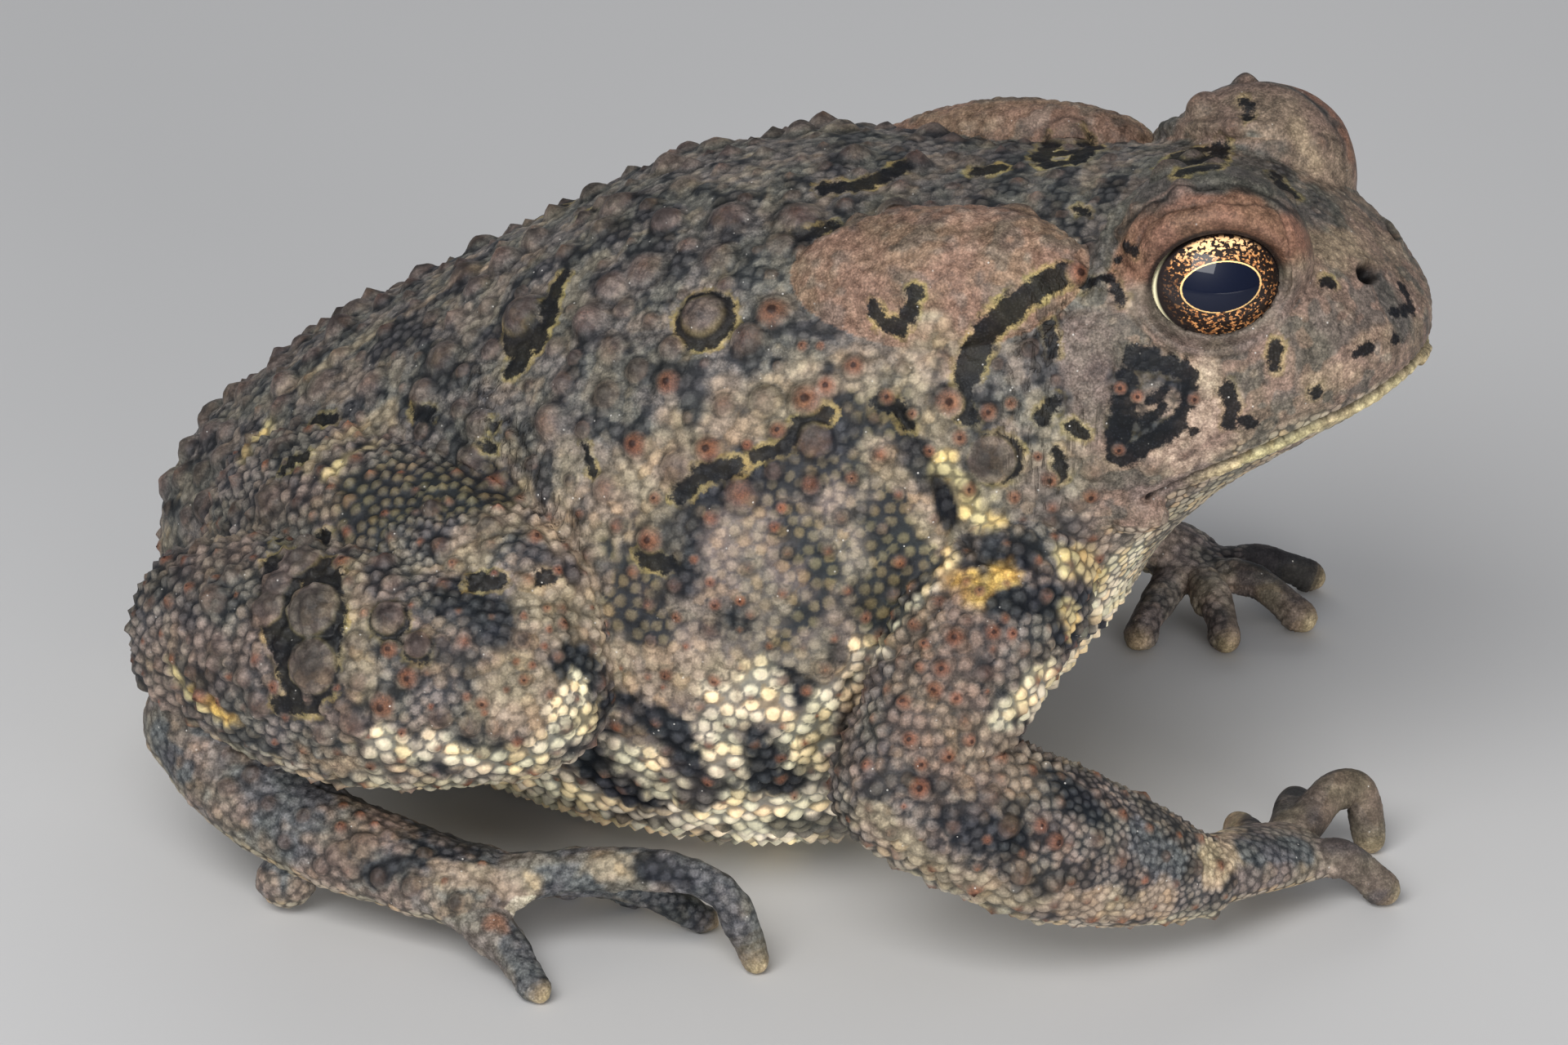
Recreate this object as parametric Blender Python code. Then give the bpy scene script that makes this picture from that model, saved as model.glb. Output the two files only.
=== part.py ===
"""A sitting American toad as a still, life-size model, parted into head, torso, eyes and limbs.

Every form is a loft through a few named sections. The frame is +X to the snout, +Y to the toad's
left and +Z up, with the floor at zero. Sections are written in millimetres and built in metres.
"""

import math
import random
from collections import namedtuple

import bmesh
import bpy
from mathutils import Matrix, Vector
from mathutils.bvhtree import BVHTree

MM = 0.001
GAP = 0.3  # kept between neighbouring pieces, in mm
WART_SEED = 7
WART_ROOT = 0.8  # how deep a wart's root sits in the skin, in mm

# Trunk sections: place along X, top, belly, half width, height of the widest level, squareness.
TRUNK = [
    (-41.7, 16.8, 13.4, 2.2, 15.0, 2.0),
    (-39.6, 21.0, 9.0, 7.8, 15.0, 2.0),
    (-35.4, 25.2, 4.8, 11.8, 15.0, 2.0),
    (-29.4, 29.6, 3.0, 14.8, 15.2, 2.1),
    (-22.0, 34.0, 1.6, 17.2, 15.6, 2.1),
    (-15.0, 38.3, 0.4, 19.4, 16.4, 2.1),
    (-8.0, 42.0, -0.4, 21.8, 17.2, 2.1),
    (0.0, 44.2, -0.4, 22.8, 18.6, 2.1),
    (7.0, 44.8, 0.4, 21.8, 22.0, 2.1),
    (13.0, 44.8, 4.2, 19.4, 26.0, 2.1),
    (18.0, 45.2, 10.4, 17.2, 30.0, 2.1),
    (22.2, 45.8, 16.4, 15.8, 32.8, 2.15),
    (25.8, 46.4, 22.4, 15.0, 34.6, 2.2),
    (29.8, 46.2, 27.0, 13.8, 36.0, 2.3),
    (33.6, 44.7, 29.8, 11.8, 36.8, 2.35),
    (36.8, 42.6, 31.9, 9.4, 37.2, 2.35),
    (39.2, 40.4, 33.8, 6.8, 37.2, 2.3),
    (40.5, 39.0, 35.0, 4.3, 37.2, 2.1),
    (41.1, 38.2, 36.2, 1.8, 37.2, 2.0),
]
NECK_X = 22.2
TRUNK_SIDES = 30
LIMB_SIDES = 16

EYE_RADIUS = 4.4
EYE_CENTRE = (29.3, 7.9, 42.7)
GAZE = (0.24, 0.93, 0.27)
LID_HALVES = (6.2, 5.0, 5.9)
LID_CENTRE = (28.9, 7.3, 43.2)
EYE_OPENING = (3.9, 3.1)  # half length and half height of the lids' slit

PAROTOID_CENTRE = (12.4, 10.9, 41.4)
PAROTOID_HALVES = (9.6, 4.9, 3.2)
CREST = [
    (33.6, 6.8, 45.8, 0.8, 0.8),
    (30.2, 4.2, 47.4, 0.9, 0.9),
    (26.0, 4.4, 47.0, 1.0, 1.0),
    (23.0, 7.8, 45.2, 1.1, 1.1),
    (22.8, 11.8, 41.8, 1.0, 1.0),
]
TYMPANUM = (22.8, 38.8, 1.9, 0.35)  # place along X, height, radius, how far it stands out
NOSTRIL = (37.6, 41.4, 0.45)  # place along X, height, radius
MOUTH = [(40.9, 35.9), (39.4, 35.3), (36.4, 34.1), (32.6, 32.6), (29.0, 31.1), (26.2, 29.6)]
MOUTH_RADIUS = 0.32

Arm = namedtuple("Arm", "upper fore palm fingers")
# Limb sections on one side: place, then half width and half height. Y is kept positive.
RIGHT_ARM = Arm(
    upper=[
        (17.2, 13.8, 24.0, 6.2, 6.0),
        (16.8, 17.6, 21.0, 5.4, 5.4),
        (15.4, 20.8, 17.0, 4.7, 4.8),
        (14.2, 22.4, 13.8, 4.4, 4.5),
    ],
    fore=[
        (14.0, 22.8, 13.2, 4.6, 4.6),
        (18.2, 21.6, 11.0, 5.0, 5.0),
        (22.8, 19.6, 8.6, 4.8, 4.8),
        (27.2, 16.8, 6.3, 3.9, 3.9),
        (30.4, 14.4, 4.7, 2.7, 2.6),
    ],
    palm=[(31.0, 13.6, 4.6, 2.4, 2.2), (33.2, 9.8, 3.9, 3.0, 1.9), (34.8, 6.6, 3.0, 3.3, 1.6)],
    fingers=[
        [(32.8, 6.0, 2.6, 1.3, 1.2), (31.4, 2.8, 1.9, 1.15, 1.1), (30.4, 0.2, 0.9, 1.0, 1.0)],
        [(34.2, 4.2, 3.0, 1.3, 1.2), (34.0, 0.2, 3.0, 1.15, 1.1), (33.6, -3.6, 1.0, 1.0, 1.05)],
        [
            (35.0, 4.0, 3.1, 1.35, 1.2),
            (36.4, 0.6, 4.4, 1.2, 1.15),
            (38.0, -0.8, 4.0, 1.1, 1.1),
            (38.8, -0.4, 1.0, 1.0, 1.05),
        ],
        [(35.8, 7.2, 2.8, 1.3, 1.2), (38.4, 6.8, 3.1, 1.15, 1.15), (41.0, 6.4, 1.0, 1.0, 1.05)],
    ],
)
LEFT_ARM = Arm(
    upper=[
        (15.4, 13.8, 24.0, 6.2, 6.0),
        (12.4, 18.0, 20.8, 5.4, 5.4),
        (7.0, 22.4, 16.2, 4.8, 4.8),
        (3.6, 25.0, 13.4, 4.5, 4.5),
    ],
    fore=[
        (3.2, 25.2, 13.0, 4.6, 4.6),
        (6.4, 27.8, 11.0, 5.0, 5.0),
        (10.0, 30.4, 8.6, 4.7, 4.7),
        (13.2, 32.6, 6.2, 3.7, 3.7),
        (15.8, 34.0, 4.7, 2.7, 2.6),
    ],
    palm=[(16.2, 34.2, 4.5, 2.4, 2.1), (18.4, 34.6, 3.4, 3.0, 1.8), (20.6, 34.2, 2.6, 3.2, 1.5)],
    fingers=[
        [(19.4, 32.0, 2.5, 1.3, 1.2), (18.8, 28.6, 2.0, 1.15, 1.1), (18.4, 25.4, 1.0, 1.0, 1.05)],
        [(21.2, 32.4, 2.5, 1.3, 1.2), (22.8, 29.4, 2.3, 1.15, 1.1), (24.2, 26.6, 1.0, 1.0, 1.05)],
        [(21.8, 33.6, 2.5, 1.35, 1.2), (25.0, 32.6, 2.7, 1.2, 1.1), (28.6, 31.2, 1.0, 1.0, 1.05)],
        [(21.6, 35.4, 2.5, 1.3, 1.2), (25.0, 36.8, 2.2, 1.15, 1.1), (28.0, 37.8, 1.0, 1.0, 1.05)],
    ],
)
ARMS = {-1: RIGHT_ARM, 1: LEFT_ARM}
THIGH = [
    (-28.4, 9.4, 18.8, 7.0, 7.4),
    (-23.4, 13.2, 20.2, 7.6, 7.8),
    (-17.2, 17.2, 20.8, 7.4, 7.2),
    (-12.0, 20.4, 20.4, 6.5, 6.8),
]
SHANK = [
    (-11.2, 23.2, 17.9, 6.2, 6.8),
    (-16.4, 24.0, 17.6, 6.8, 7.4),
    (-22.4, 23.2, 17.0, 6.8, 7.4),
    (-28.0, 21.2, 16.6, 6.2, 6.9),
    (-31.6, 19.8, 15.8, 5.3, 6.1),
]
TARSUS = [
    (-32.4, 20.8, 10.4, 3.8, 3.8),
    (-28.8, 22.8, 7.4, 3.6, 3.3),
    (-23.2, 24.8, 5.6, 3.3, 2.9),
    (-17.4, 26.0, 4.7, 3.2, 2.6),
    (-12.6, 26.6, 4.3, 3.4, 2.2),
]
HEEL_KNOB = ((-25.8, 25.2, 2.1), (2.4, 1.7, 2.1))
TOES = [
    [(-13.8, 24.6, 3.8, 1.5, 1.3), (-11.0, 21.2, 2.4, 1.25, 1.2), (-8.8, 18.4, 0.85, 0.85, 0.9)],
    [(-12.6, 25.0, 4.1, 1.5, 1.3), (-8.2, 21.6, 3.2, 1.3, 1.2), (-4.4, 18.8, 0.85, 0.85, 0.9)],
    [(-11.8, 25.6, 4.4, 1.6, 1.4), (-5.6, 22.8, 4.2, 1.4, 1.3), (0.6, 21.0, 0.85, 0.85, 0.9)],
    [
        (-11.4, 26.4, 4.7, 1.7, 1.5),
        (-5.6, 25.6, 5.9, 1.4, 1.35),
        (-0.6, 25.0, 6.2, 1.15, 1.15),
        (3.0, 25.0, 4.9, 1.1, 1.1),
        (4.9, 25.3, 0.85, 0.85, 0.9),
    ],
    [(-13.6, 28.0, 3.9, 1.6, 1.4), (-10.2, 29.8, 2.7, 1.3, 1.2), (-7.0, 32.2, 0.9, 0.9, 0.95)],
]
WEB_REACH = 0.42  # share of a toe's length that the web follows
WEB_THICKNESS = 0.6

# Warts that stand alone: place along X, degrees from the back's ridge to the right, radius, height.
TRUNK_WARTS = [
    (-3.8, 40.0, 1.7, 1.2),
    (-15.4, 37.0, 1.8, 1.3),
    (15.6, -2.0, 1.8, 1.2),
    (9.2, 14.0, 1.6, 1.0),
    (1.5, 22.0, 1.5, 1.1),
    (3.4, 53.0, 1.3, 0.9),
    (-9.5, 48.0, 1.3, 0.9),
    (-20.5, 52.0, 1.4, 1.0),
]
SHANK_WARTS = [(0.36, 62.0, 2.0), (0.30, 98.0, 1.9), (0.52, 40.0, 1.8), (0.24, 30.0, 1.3), (0.20, 60.0, 1.2)]

Section = namedtuple("Section", "centre side up half rise drop square")

SKINS = {
    "back": (0.13, 0.10, 0.08),
    "limb": (0.20, 0.16, 0.12),
    "eye": (0.02, 0.015, 0.01),
}


def clear_scene():
    for obj in list(bpy.data.objects):
        bpy.data.objects.remove(obj, do_unlink=True)


def skin_material(name, colour, roughness):
    material = bpy.data.materials.new(name)
    material.use_nodes = True
    shader = material.node_tree.nodes["Principled BSDF"]
    shader.inputs["Base Color"].default_value = (*colour, 1.0)
    shader.inputs["Roughness"].default_value = roughness
    shader.inputs["Metallic"].default_value = 0.0
    return material


def rows_through(rows, steps):
    """Rows on one smooth curve through the given rows, with this many steps in each span."""
    last = len(rows) - 1
    found = []
    for i in range(last):
        before, start, end, after = rows[max(i - 1, 0)], rows[i], rows[i + 1], rows[min(i + 2, last)]
        for k in range(steps):
            t = k / steps
            found.append(
                tuple(
                    0.5 * (2 * b + (c - a) * t + (2 * a - 5 * b + 4 * c - d) * t**2 + (3 * b - a - 3 * c + d) * t**3)
                    for a, b, c, d in zip(before, start, end, after)
                )
            )
    found.append(tuple(rows[last]))
    return found


def trunk_section(row):
    x, top, belly, half, wide, square = row
    return Section(
        Vector((x, 0, wide)), Vector((0, 1, 0)), Vector((0, 0, 1)), half, top - wide, wide - belly, square
    )


def row_at(rows, x):
    """The trunk's row at a place along X, between its neighbours in a fine set of rows."""
    for low, high in zip(rows, rows[1:]):
        if low[0] <= x <= high[0]:
            share = (x - low[0]) / (high[0] - low[0])
            return tuple(a + (b - a) * share for a, b in zip(low, high))
    return rows[0] if x < rows[0][0] else rows[-1]


def limb_sections(rows, hand, steps):
    """Oval sections square to a limb's own line. hand is 1 on the toad's left and -1 on its right."""
    fine = rows_through(rows, steps)
    places = [Vector((x, y * hand, z)) for x, y, z, _, _ in fine]
    sections = []
    for i, (place, row) in enumerate(zip(places, fine)):
        along = (places[min(i + 1, len(places) - 1)] - places[max(i - 1, 0)]).normalized()
        side = Vector((0, 0, 1)).cross(along).normalized()
        sections.append(Section(place, side, along.cross(side).normalized(), row[3], row[4], row[4], 2.0))
    return rounded_ends(sections)


def rounded_ends(sections):
    """The sections with a dome added at each end."""
    first, last = sections[0], sections[-1]

    def dome(section, way):
        reach = 0.5 * (section.half + section.rise)
        rings = []
        for angle in (math.radians(35), math.radians(65)):
            scale = math.cos(angle)
            rings.append(
                section._replace(
                    centre=section.centre + way * reach * math.sin(angle),
                    half=section.half * scale,
                    rise=section.rise * scale,
                    drop=section.drop * scale,
                )
            )
        return rings

    start = (first.centre - sections[1].centre).normalized()
    end = (last.centre - sections[-2].centre).normalized()
    return dome(first, start)[::-1] + sections + dome(last, end)


def signed_power(value, power):
    return math.copysign(abs(value) ** power, value)


def section_point(section, angle, grow=0.0):
    across = (section.half + grow) * signed_power(math.cos(angle), 2 / section.square)
    tall = (section.rise if math.sin(angle) > 0 else section.drop) + grow
    return section.centre + section.side * across + section.up * tall * signed_power(math.sin(angle), 2 / section.square)


def loft(name, sections, sides, grow=0.0, flat_start=False, flat_end=False):
    """A closed mesh through the sections, with a pole or one flat face at each end."""
    mesh = bmesh.new()
    rings = []
    for section in sections:
        points = [section_point(section, 2 * math.pi * k / sides, grow) for k in range(sides)]
        rings.append([mesh.verts.new(point * MM) for point in points])
    for low, high in zip(rings, rings[1:]):
        for k in range(sides):
            mesh.faces.new((low[k], low[(k + 1) % sides], high[(k + 1) % sides], high[k]))
    ends = ((rings[0], sections[0], sections[1], flat_start), (rings[-1], sections[-1], sections[-2], flat_end))
    for ring, section, inner, flat in ends:
        if flat:
            mesh.faces.new(ring)
            continue
        way = (section.centre - inner.centre).normalized()
        pole = mesh.verts.new((section.centre + way * (0.3 * min(section.half, section.rise) + grow)) * MM)
        for k in range(sides):
            mesh.faces.new((ring[k], ring[(k + 1) % sides], pole))
    return mesh_object(name, mesh)


def mesh_object(name, mesh):
    bmesh.ops.recalc_face_normals(mesh, faces=mesh.faces)
    data = bpy.data.meshes.new(name)
    mesh.to_mesh(data)
    mesh.free()
    obj = bpy.data.objects.new(name, data)
    bpy.context.scene.collection.objects.link(obj)
    return obj


def ball(name, centre, halves, turn=None, segments=14, rings=9):
    """An ellipsoid with its half sizes along X, Y and Z, then turned and set at its centre."""
    mesh = bmesh.new()
    bmesh.ops.create_uvsphere(mesh, u_segments=segments, v_segments=rings, radius=1.0)
    placing = Matrix.Translation(Vector(centre) * MM) @ (turn or Matrix.Identity(4))
    bmesh.ops.transform(mesh, matrix=placing @ Matrix.Diagonal((*(h * MM for h in halves), 1)), verts=mesh.verts)
    return mesh_object(name, mesh)


def tube(name, points, radius):
    """A thin tube along points, as a mesh with welded caps."""
    curve = bpy.data.curves.new(name, "CURVE")
    curve.dimensions = "3D"
    curve.bevel_depth = radius * MM
    curve.bevel_resolution = 1
    curve.use_fill_caps = True
    spline = curve.splines.new("POLY")
    spline.points.add(len(points) - 1)
    for target, point in zip(spline.points, points):
        target.co = (*(Vector(point) * MM), 1.0)
    holder = bpy.data.objects.new(name, curve)
    bpy.context.scene.collection.objects.link(holder)
    data = bpy.data.meshes.new_from_object(holder.evaluated_get(bpy.context.evaluated_depsgraph_get()))
    mesh = bmesh.new()
    mesh.from_mesh(data)
    bmesh.ops.remove_doubles(mesh, verts=mesh.verts, dist=0.00001)
    bpy.data.objects.remove(holder)
    return mesh_object(name, mesh)


def combine(obj, others, operation, solver="EXACT"):
    """Joins others to the object, or cuts them from it, then removes them."""
    if not others:
        return
    group = bpy.data.collections.new(obj.name + "_pieces")
    bpy.context.scene.collection.children.link(group)
    for other in others:
        group.objects.link(other)
    modifier = obj.modifiers.new("combine", "BOOLEAN")
    modifier.operation = operation
    modifier.solver = solver
    modifier.operand_type = "COLLECTION"
    modifier.collection = group
    data = bpy.data.meshes.new_from_object(obj.evaluated_get(bpy.context.evaluated_depsgraph_get()))
    obj.modifiers.clear()
    obj.data = data
    for other in others:
        bpy.data.objects.remove(other, do_unlink=True)
    bpy.data.collections.remove(group)
    keep_largest(obj)


def keep_largest(obj):
    """Drops every closed surface of the mesh but the largest."""
    mesh = bmesh.new()
    mesh.from_mesh(obj.data)
    bmesh.ops.remove_doubles(mesh, verts=mesh.verts, dist=0.000002)
    left = set(mesh.verts)
    islands = []
    while left:
        reached, waiting = set(), [left.pop()]
        while waiting:
            vert = waiting.pop()
            reached.add(vert)
            for edge in vert.link_edges:
                other = edge.other_vert(vert)
                if other in left:
                    left.discard(other)
                    waiting.append(other)
        islands.append(reached)
    islands.sort(key=len)
    bmesh.ops.delete(mesh, geom=[vert for island in islands[:-1] for vert in island], context="VERTS")
    mesh.to_mesh(obj.data)
    mesh.free()


def rest_on_floor(obj):
    """Presses what would reach under the floor into a small flat on it."""
    for vert in obj.data.vertices:
        vert.co.z = max(vert.co.z, 0.0)


def finish(obj, material):
    rest_on_floor(obj)
    obj.data.materials.clear()
    obj.data.materials.append(material)
    obj.data.shade_smooth()


def trunk_spot(rows, x, degrees):
    """A point of the trunk and its outward normal, by the degrees from the back's ridge to the right."""
    angle = math.radians(90 + degrees)
    here = section_point(trunk_section(row_at(rows, x)), angle)
    ahead = section_point(trunk_section(row_at(rows, x + 0.5)), angle)
    round_it = section_point(trunk_section(row_at(rows, x)), angle + 0.02)
    normal = (round_it - here).cross(ahead - here).normalized()
    middle = trunk_section(row_at(rows, x)).centre
    return here, normal if normal.dot(here - middle) > 0 else -normal


def limb_spot(sections, share, degrees, hand):
    """A point of a limb and its normal, by the degrees from its outer side up."""
    at = share * (len(sections) - 1)
    section = sections[min(int(at), len(sections) - 1)]
    angle = math.radians(degrees) if section.side.y * hand > 0 else math.radians(180 - degrees)
    here = section_point(section, angle)
    return here, (here - section.centre).normalized()


def wart(place, normal, radius, height, sides=6):
    """A blunt cone with its root sunk well into the skin that it stands on."""
    turn = normal.to_track_quat("Z", "Y").to_matrix()
    mesh = bmesh.new()
    rings = []
    for level, reach in ((-WART_ROOT, 1.25 * radius), (0.5 * height, 0.6 * radius)):
        angles = [2 * math.pi * k / sides for k in range(sides)]
        points = [turn @ Vector((reach * math.cos(a), reach * math.sin(a), level)) for a in angles]
        rings.append([mesh.verts.new((place + point) * MM) for point in points])
    tip = mesh.verts.new((place + normal * height) * MM)
    mesh.faces.new(rings[0])
    for k in range(sides):
        after = (k + 1) % sides
        mesh.faces.new((rings[0][k], rings[0][after], rings[1][after], rings[1][k]))
        mesh.faces.new((rings[1][k], rings[1][after], tip))
    return mesh_object("wart", mesh)


def scattered(count, spacing, draw, spot, near):
    """Spots drawn at random that keep their spacing from each other and from the near ones."""
    kept = list(near)
    found = []
    for _ in range(count * 30):
        if len(found) == count:
            break
        place, normal = spot()
        if all((place - other).length > spacing for other in kept):
            kept.append(place)
            found.append((place, normal, draw.random()))
    return found


def mouth_line(rows, hand):
    """Points along the shut mouth, on the side of the head."""
    points = []
    for x, z in rows_through(MOUTH, 2):
        points.append(Vector((x, side_at(rows, x, z) * hand, z)))
    return points


def side_at(rows, x, z):
    """Half the trunk's width at a place along X and a height."""
    section = trunk_section(row_at(rows, x))
    tall = section.rise if z > section.centre.z else section.drop
    level = min(abs(z - section.centre.z) / tall, 1.0)
    return section.half * (1 - level**section.square) ** (1 / section.square)


def gaze_turn(hand):
    """Turns Z to the way the eye looks, with X kept along the head."""
    look = Vector((GAZE[0], GAZE[1] * hand, GAZE[2])).normalized()
    along = (Vector((1, 0, 0.12)) - look * look.dot(Vector((1, 0, 0.12)))).normalized()
    return Matrix((along, look.cross(along), look)).transposed().to_4x4()


def mirrored(place, hand):
    return Vector((place[0], place[1] * hand, place[2]))


def make_torso(rows, limbs, draw):
    sections = [trunk_section(row) for row in rows_through(TRUNK, 2) if row[0] < NECK_X + 2]
    torso = loft("torso", sections, TRUNK_SIDES, flat_end=True)
    raised = [parotoid("gland", hand) for hand in (-1, 1)] + [tympanum(rows, hand) for hand in (-1, 1)]
    warts = []
    spots = [(*trunk_spot(rows, x, degrees), radius, height) for x, degrees, radius, height in TRUNK_WARTS]
    taken = [place for place, _, _, _ in spots]
    taken += [mirrored(PAROTOID_CENTRE, hand) + Vector((reach, 0, 0)) for hand in (-1, 1) for reach in (-7, 0, 7)]

    def back_spot():
        return trunk_spot(rows, draw.uniform(-38, 17), draw.gauss(0, 1) * 38)

    for place, normal, chance in scattered(64, 4.6, draw, back_spot, taken):
        if place.z > 24 - 0.18 * place.x:
            spots.append((place, normal, 0.8 + 0.8 * chance, 0.6 + 0.5 * chance))
    for place, normal, radius, height in spots:
        if not near_gland(place, radius) and not near_any(place, limbs, radius + 2 * GAP):
            warts.append(wart(place, normal, radius, height))
    combine(torso, raised + warts, "UNION")
    combine(torso, [beyond_neck(1)], "DIFFERENCE")
    return torso


def beyond_neck(way):
    """A block that starts at the neck and reaches past the snout, or past the rump."""
    reach = 120.0
    mesh = bmesh.new()
    bmesh.ops.create_cube(mesh, size=reach * MM)
    start = NECK_X + way * (reach - GAP) / 2
    bmesh.ops.translate(mesh, vec=(start * MM, 0, 0), verts=mesh.verts)
    return mesh_object("beyond_neck", mesh)


def near_gland(place, radius):
    """Whether a wart would stand on the edge of a parotoid gland."""
    for hand in (-1, 1):
        away = mirrored(PAROTOID_CENTRE, hand) - place
        if (away.x / (PAROTOID_HALVES[0] + radius)) ** 2 + (away.y**2 + away.z**2) / (
            PAROTOID_HALVES[1] + radius
        ) ** 2 < 1:
            return True
    return False


def parotoid(name, hand):
    tilt = Matrix.Rotation(math.radians(-42 * hand), 4, "X") @ Matrix.Rotation(math.radians(-5 * hand), 4, "Z")
    pitch = Matrix.Rotation(math.radians(-6), 4, "Y")
    return ball(name, mirrored(PAROTOID_CENTRE, hand), PAROTOID_HALVES, pitch @ tilt, 18, 9)


def near_any(place, trees, distance):
    """Whether a place in mm lies this near one of the trees' surfaces."""
    for tree in trees:
        if tree.find_nearest(place * MM, distance * MM)[0] is not None:
            return True
    return False


def surface_tree(obj):
    mesh = bmesh.new()
    mesh.from_mesh(obj.data)
    tree = BVHTree.FromBMesh(mesh)
    mesh.free()
    return tree


def make_head(rows):
    sections = [trunk_section(row) for row in rows_through(TRUNK, 2) if row[0] > NECK_X - 3]
    head = loft("head", sections, TRUNK_SIDES, flat_start=True)
    added, cut = [], []
    for hand in (-1, 1):
        turn = gaze_turn(hand)
        centre = mirrored(EYE_CENTRE, hand)
        look = turn @ Vector((0, 0, 1))
        added.append(ball("lid", mirrored(LID_CENTRE, hand), LID_HALVES, None, 18, 11))
        added.append(crest(hand))
        added.append(ball("lip", mouth_corner(rows, hand), (2.2, 1.2, 1.3), None, 8, 6))
        added.append(tympanum(rows, hand))
        socket = EYE_RADIUS + GAP
        cut.append(ball("socket", centre, (socket, socket, socket), turn, 16, 10))
        slit = (EYE_OPENING[0], EYE_OPENING[1], 4.0)
        cut.append(ball("slit", centre + look * EYE_RADIUS, slit, turn, 16, 7))
        cut.append(nostril(rows, hand))
    combine(head, added, "UNION")
    right, left = mouth_line(rows, -1), mouth_line(rows, 1)
    cut.append(tube("mouth", right[:0:-1] + left, MOUTH_RADIUS))
    combine(head, [beyond_neck(-1)], "DIFFERENCE")
    combine(head, cut, "DIFFERENCE")
    return head


def mouth_corner(rows, hand):
    x, z = MOUTH[-1]
    return Vector((x - 0.6, (side_at(rows, x, z) - 0.4) * hand, z - 1.0))


def crest(hand):
    """The bony ridge over and behind the eye."""
    return loft("crest", limb_sections(CREST, hand, 1), 7)


def tympanum(rows, hand):
    x, z, radius, proud = TYMPANUM
    y = side_at(rows, x, z)
    place = Vector((x, y * hand, z))
    away = Vector((0, y * hand, (z - 36) * 0.9)).normalized()
    turn = away.to_track_quat("Z", "Y").to_matrix().to_4x4()
    return ball("drum", place, (radius, radius * 1.15, proud + 0.5), turn, 12, 6)


def nostril(rows, hand):
    x, z, radius = NOSTRIL
    return ball("nostril", Vector((x, side_at(rows, x, z) * hand, z)), (radius, radius, radius * 1.4), None, 8, 6)


def make_eye(name, hand):
    radius = EYE_RADIUS
    return ball(name, mirrored(EYE_CENTRE, hand), (radius, radius, radius), gaze_turn(hand), 18, 11)


def digits(rows_of_digits, hand, sides=7):
    return [loft("digit", limb_sections(rows, hand, 2), sides) for rows in rows_of_digits]


def web(first, second, hand):
    """A thin skin between two neighbouring toes, from their roots to a part of their length."""
    mesh = bmesh.new()
    fine = [rows_through(first, 4), rows_through(second, 4)]
    count = int(len(fine[0]) * WEB_REACH), int(len(fine[1]) * WEB_REACH)
    edge = [Vector(row[:3]) for row in fine[0][: count[0] + 1]]
    edge += [Vector(row[:3]) for row in fine[1][count[1] :: -1]]
    rings = []
    for level in (-0.5, 0.5):
        points = [mirrored(point, hand) + Vector((0, 0, level * WEB_THICKNESS)) for point in edge]
        rings.append([mesh.verts.new(point * MM) for point in points])
    sides = len(edge)
    mesh.faces.new(rings[0])
    mesh.faces.new(rings[1])
    for k in range(sides):
        mesh.faces.new((rings[0][k], rings[0][(k + 1) % sides], rings[1][(k + 1) % sides], rings[1][k]))
    bmesh.ops.triangulate(mesh, faces=mesh.faces)
    return mesh_object("web", mesh)


def plain_tree(sections):
    """The surface of a limb's plain form, to keep its neighbours' warts off it."""
    obj = loft("plain", sections, LIMB_SIDES)
    tree = surface_tree(obj)
    bpy.data.objects.remove(obj, do_unlink=True)
    return tree


def limb_warts(sections, hand, draw, size, spacing, spread, neighbours, count=14):
    """Pointed warts at random over a limb, within a spread of degrees and of shares of its length."""
    degrees, shares = spread

    def outer_spot():
        return limb_spot(sections, draw.uniform(*shares), draw.uniform(*degrees), hand)

    warts = []
    for place, normal, chance in scattered(count, spacing, draw, outer_spot, []):
        if not near_any(place, neighbours, 1.3 * size + 2 * GAP):
            warts.append(wart(place, normal, size * (0.7 + 0.6 * chance), size * (0.7 + 0.4 * chance), 5))
    return warts


def make_arm(side, hand, rows, draw):
    arm = ARMS[hand]
    upper = limb_sections(arm.upper, hand, 2)
    lower = limb_sections(arm.fore, hand, 2)
    wrist = limb_sections(arm.palm, hand, 2)
    upper_arm = loft("upper_arm_" + side, upper, LIMB_SIDES)
    combine(upper_arm, [trunk_cutter(rows)], "DIFFERENCE")
    forearm = loft("forearm_" + side, lower, LIMB_SIDES)
    neighbours = [plain_tree(upper), plain_tree(wrist)]
    combine(forearm, limb_warts(lower, hand, draw, 0.9, 3.0, ((-70, 120), (0.2, 0.8)), neighbours), "UNION")
    combine(forearm, [loft("cutter", upper, LIMB_SIDES, GAP), trunk_cutter(rows)], "DIFFERENCE")
    palm = loft("hand_" + side, wrist, 12)
    combine(palm, digits(arm.fingers, hand), "UNION")
    combine(palm, [loft("cutter", lower, LIMB_SIDES, GAP)], "DIFFERENCE")
    return [upper_arm, forearm, palm]


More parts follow.
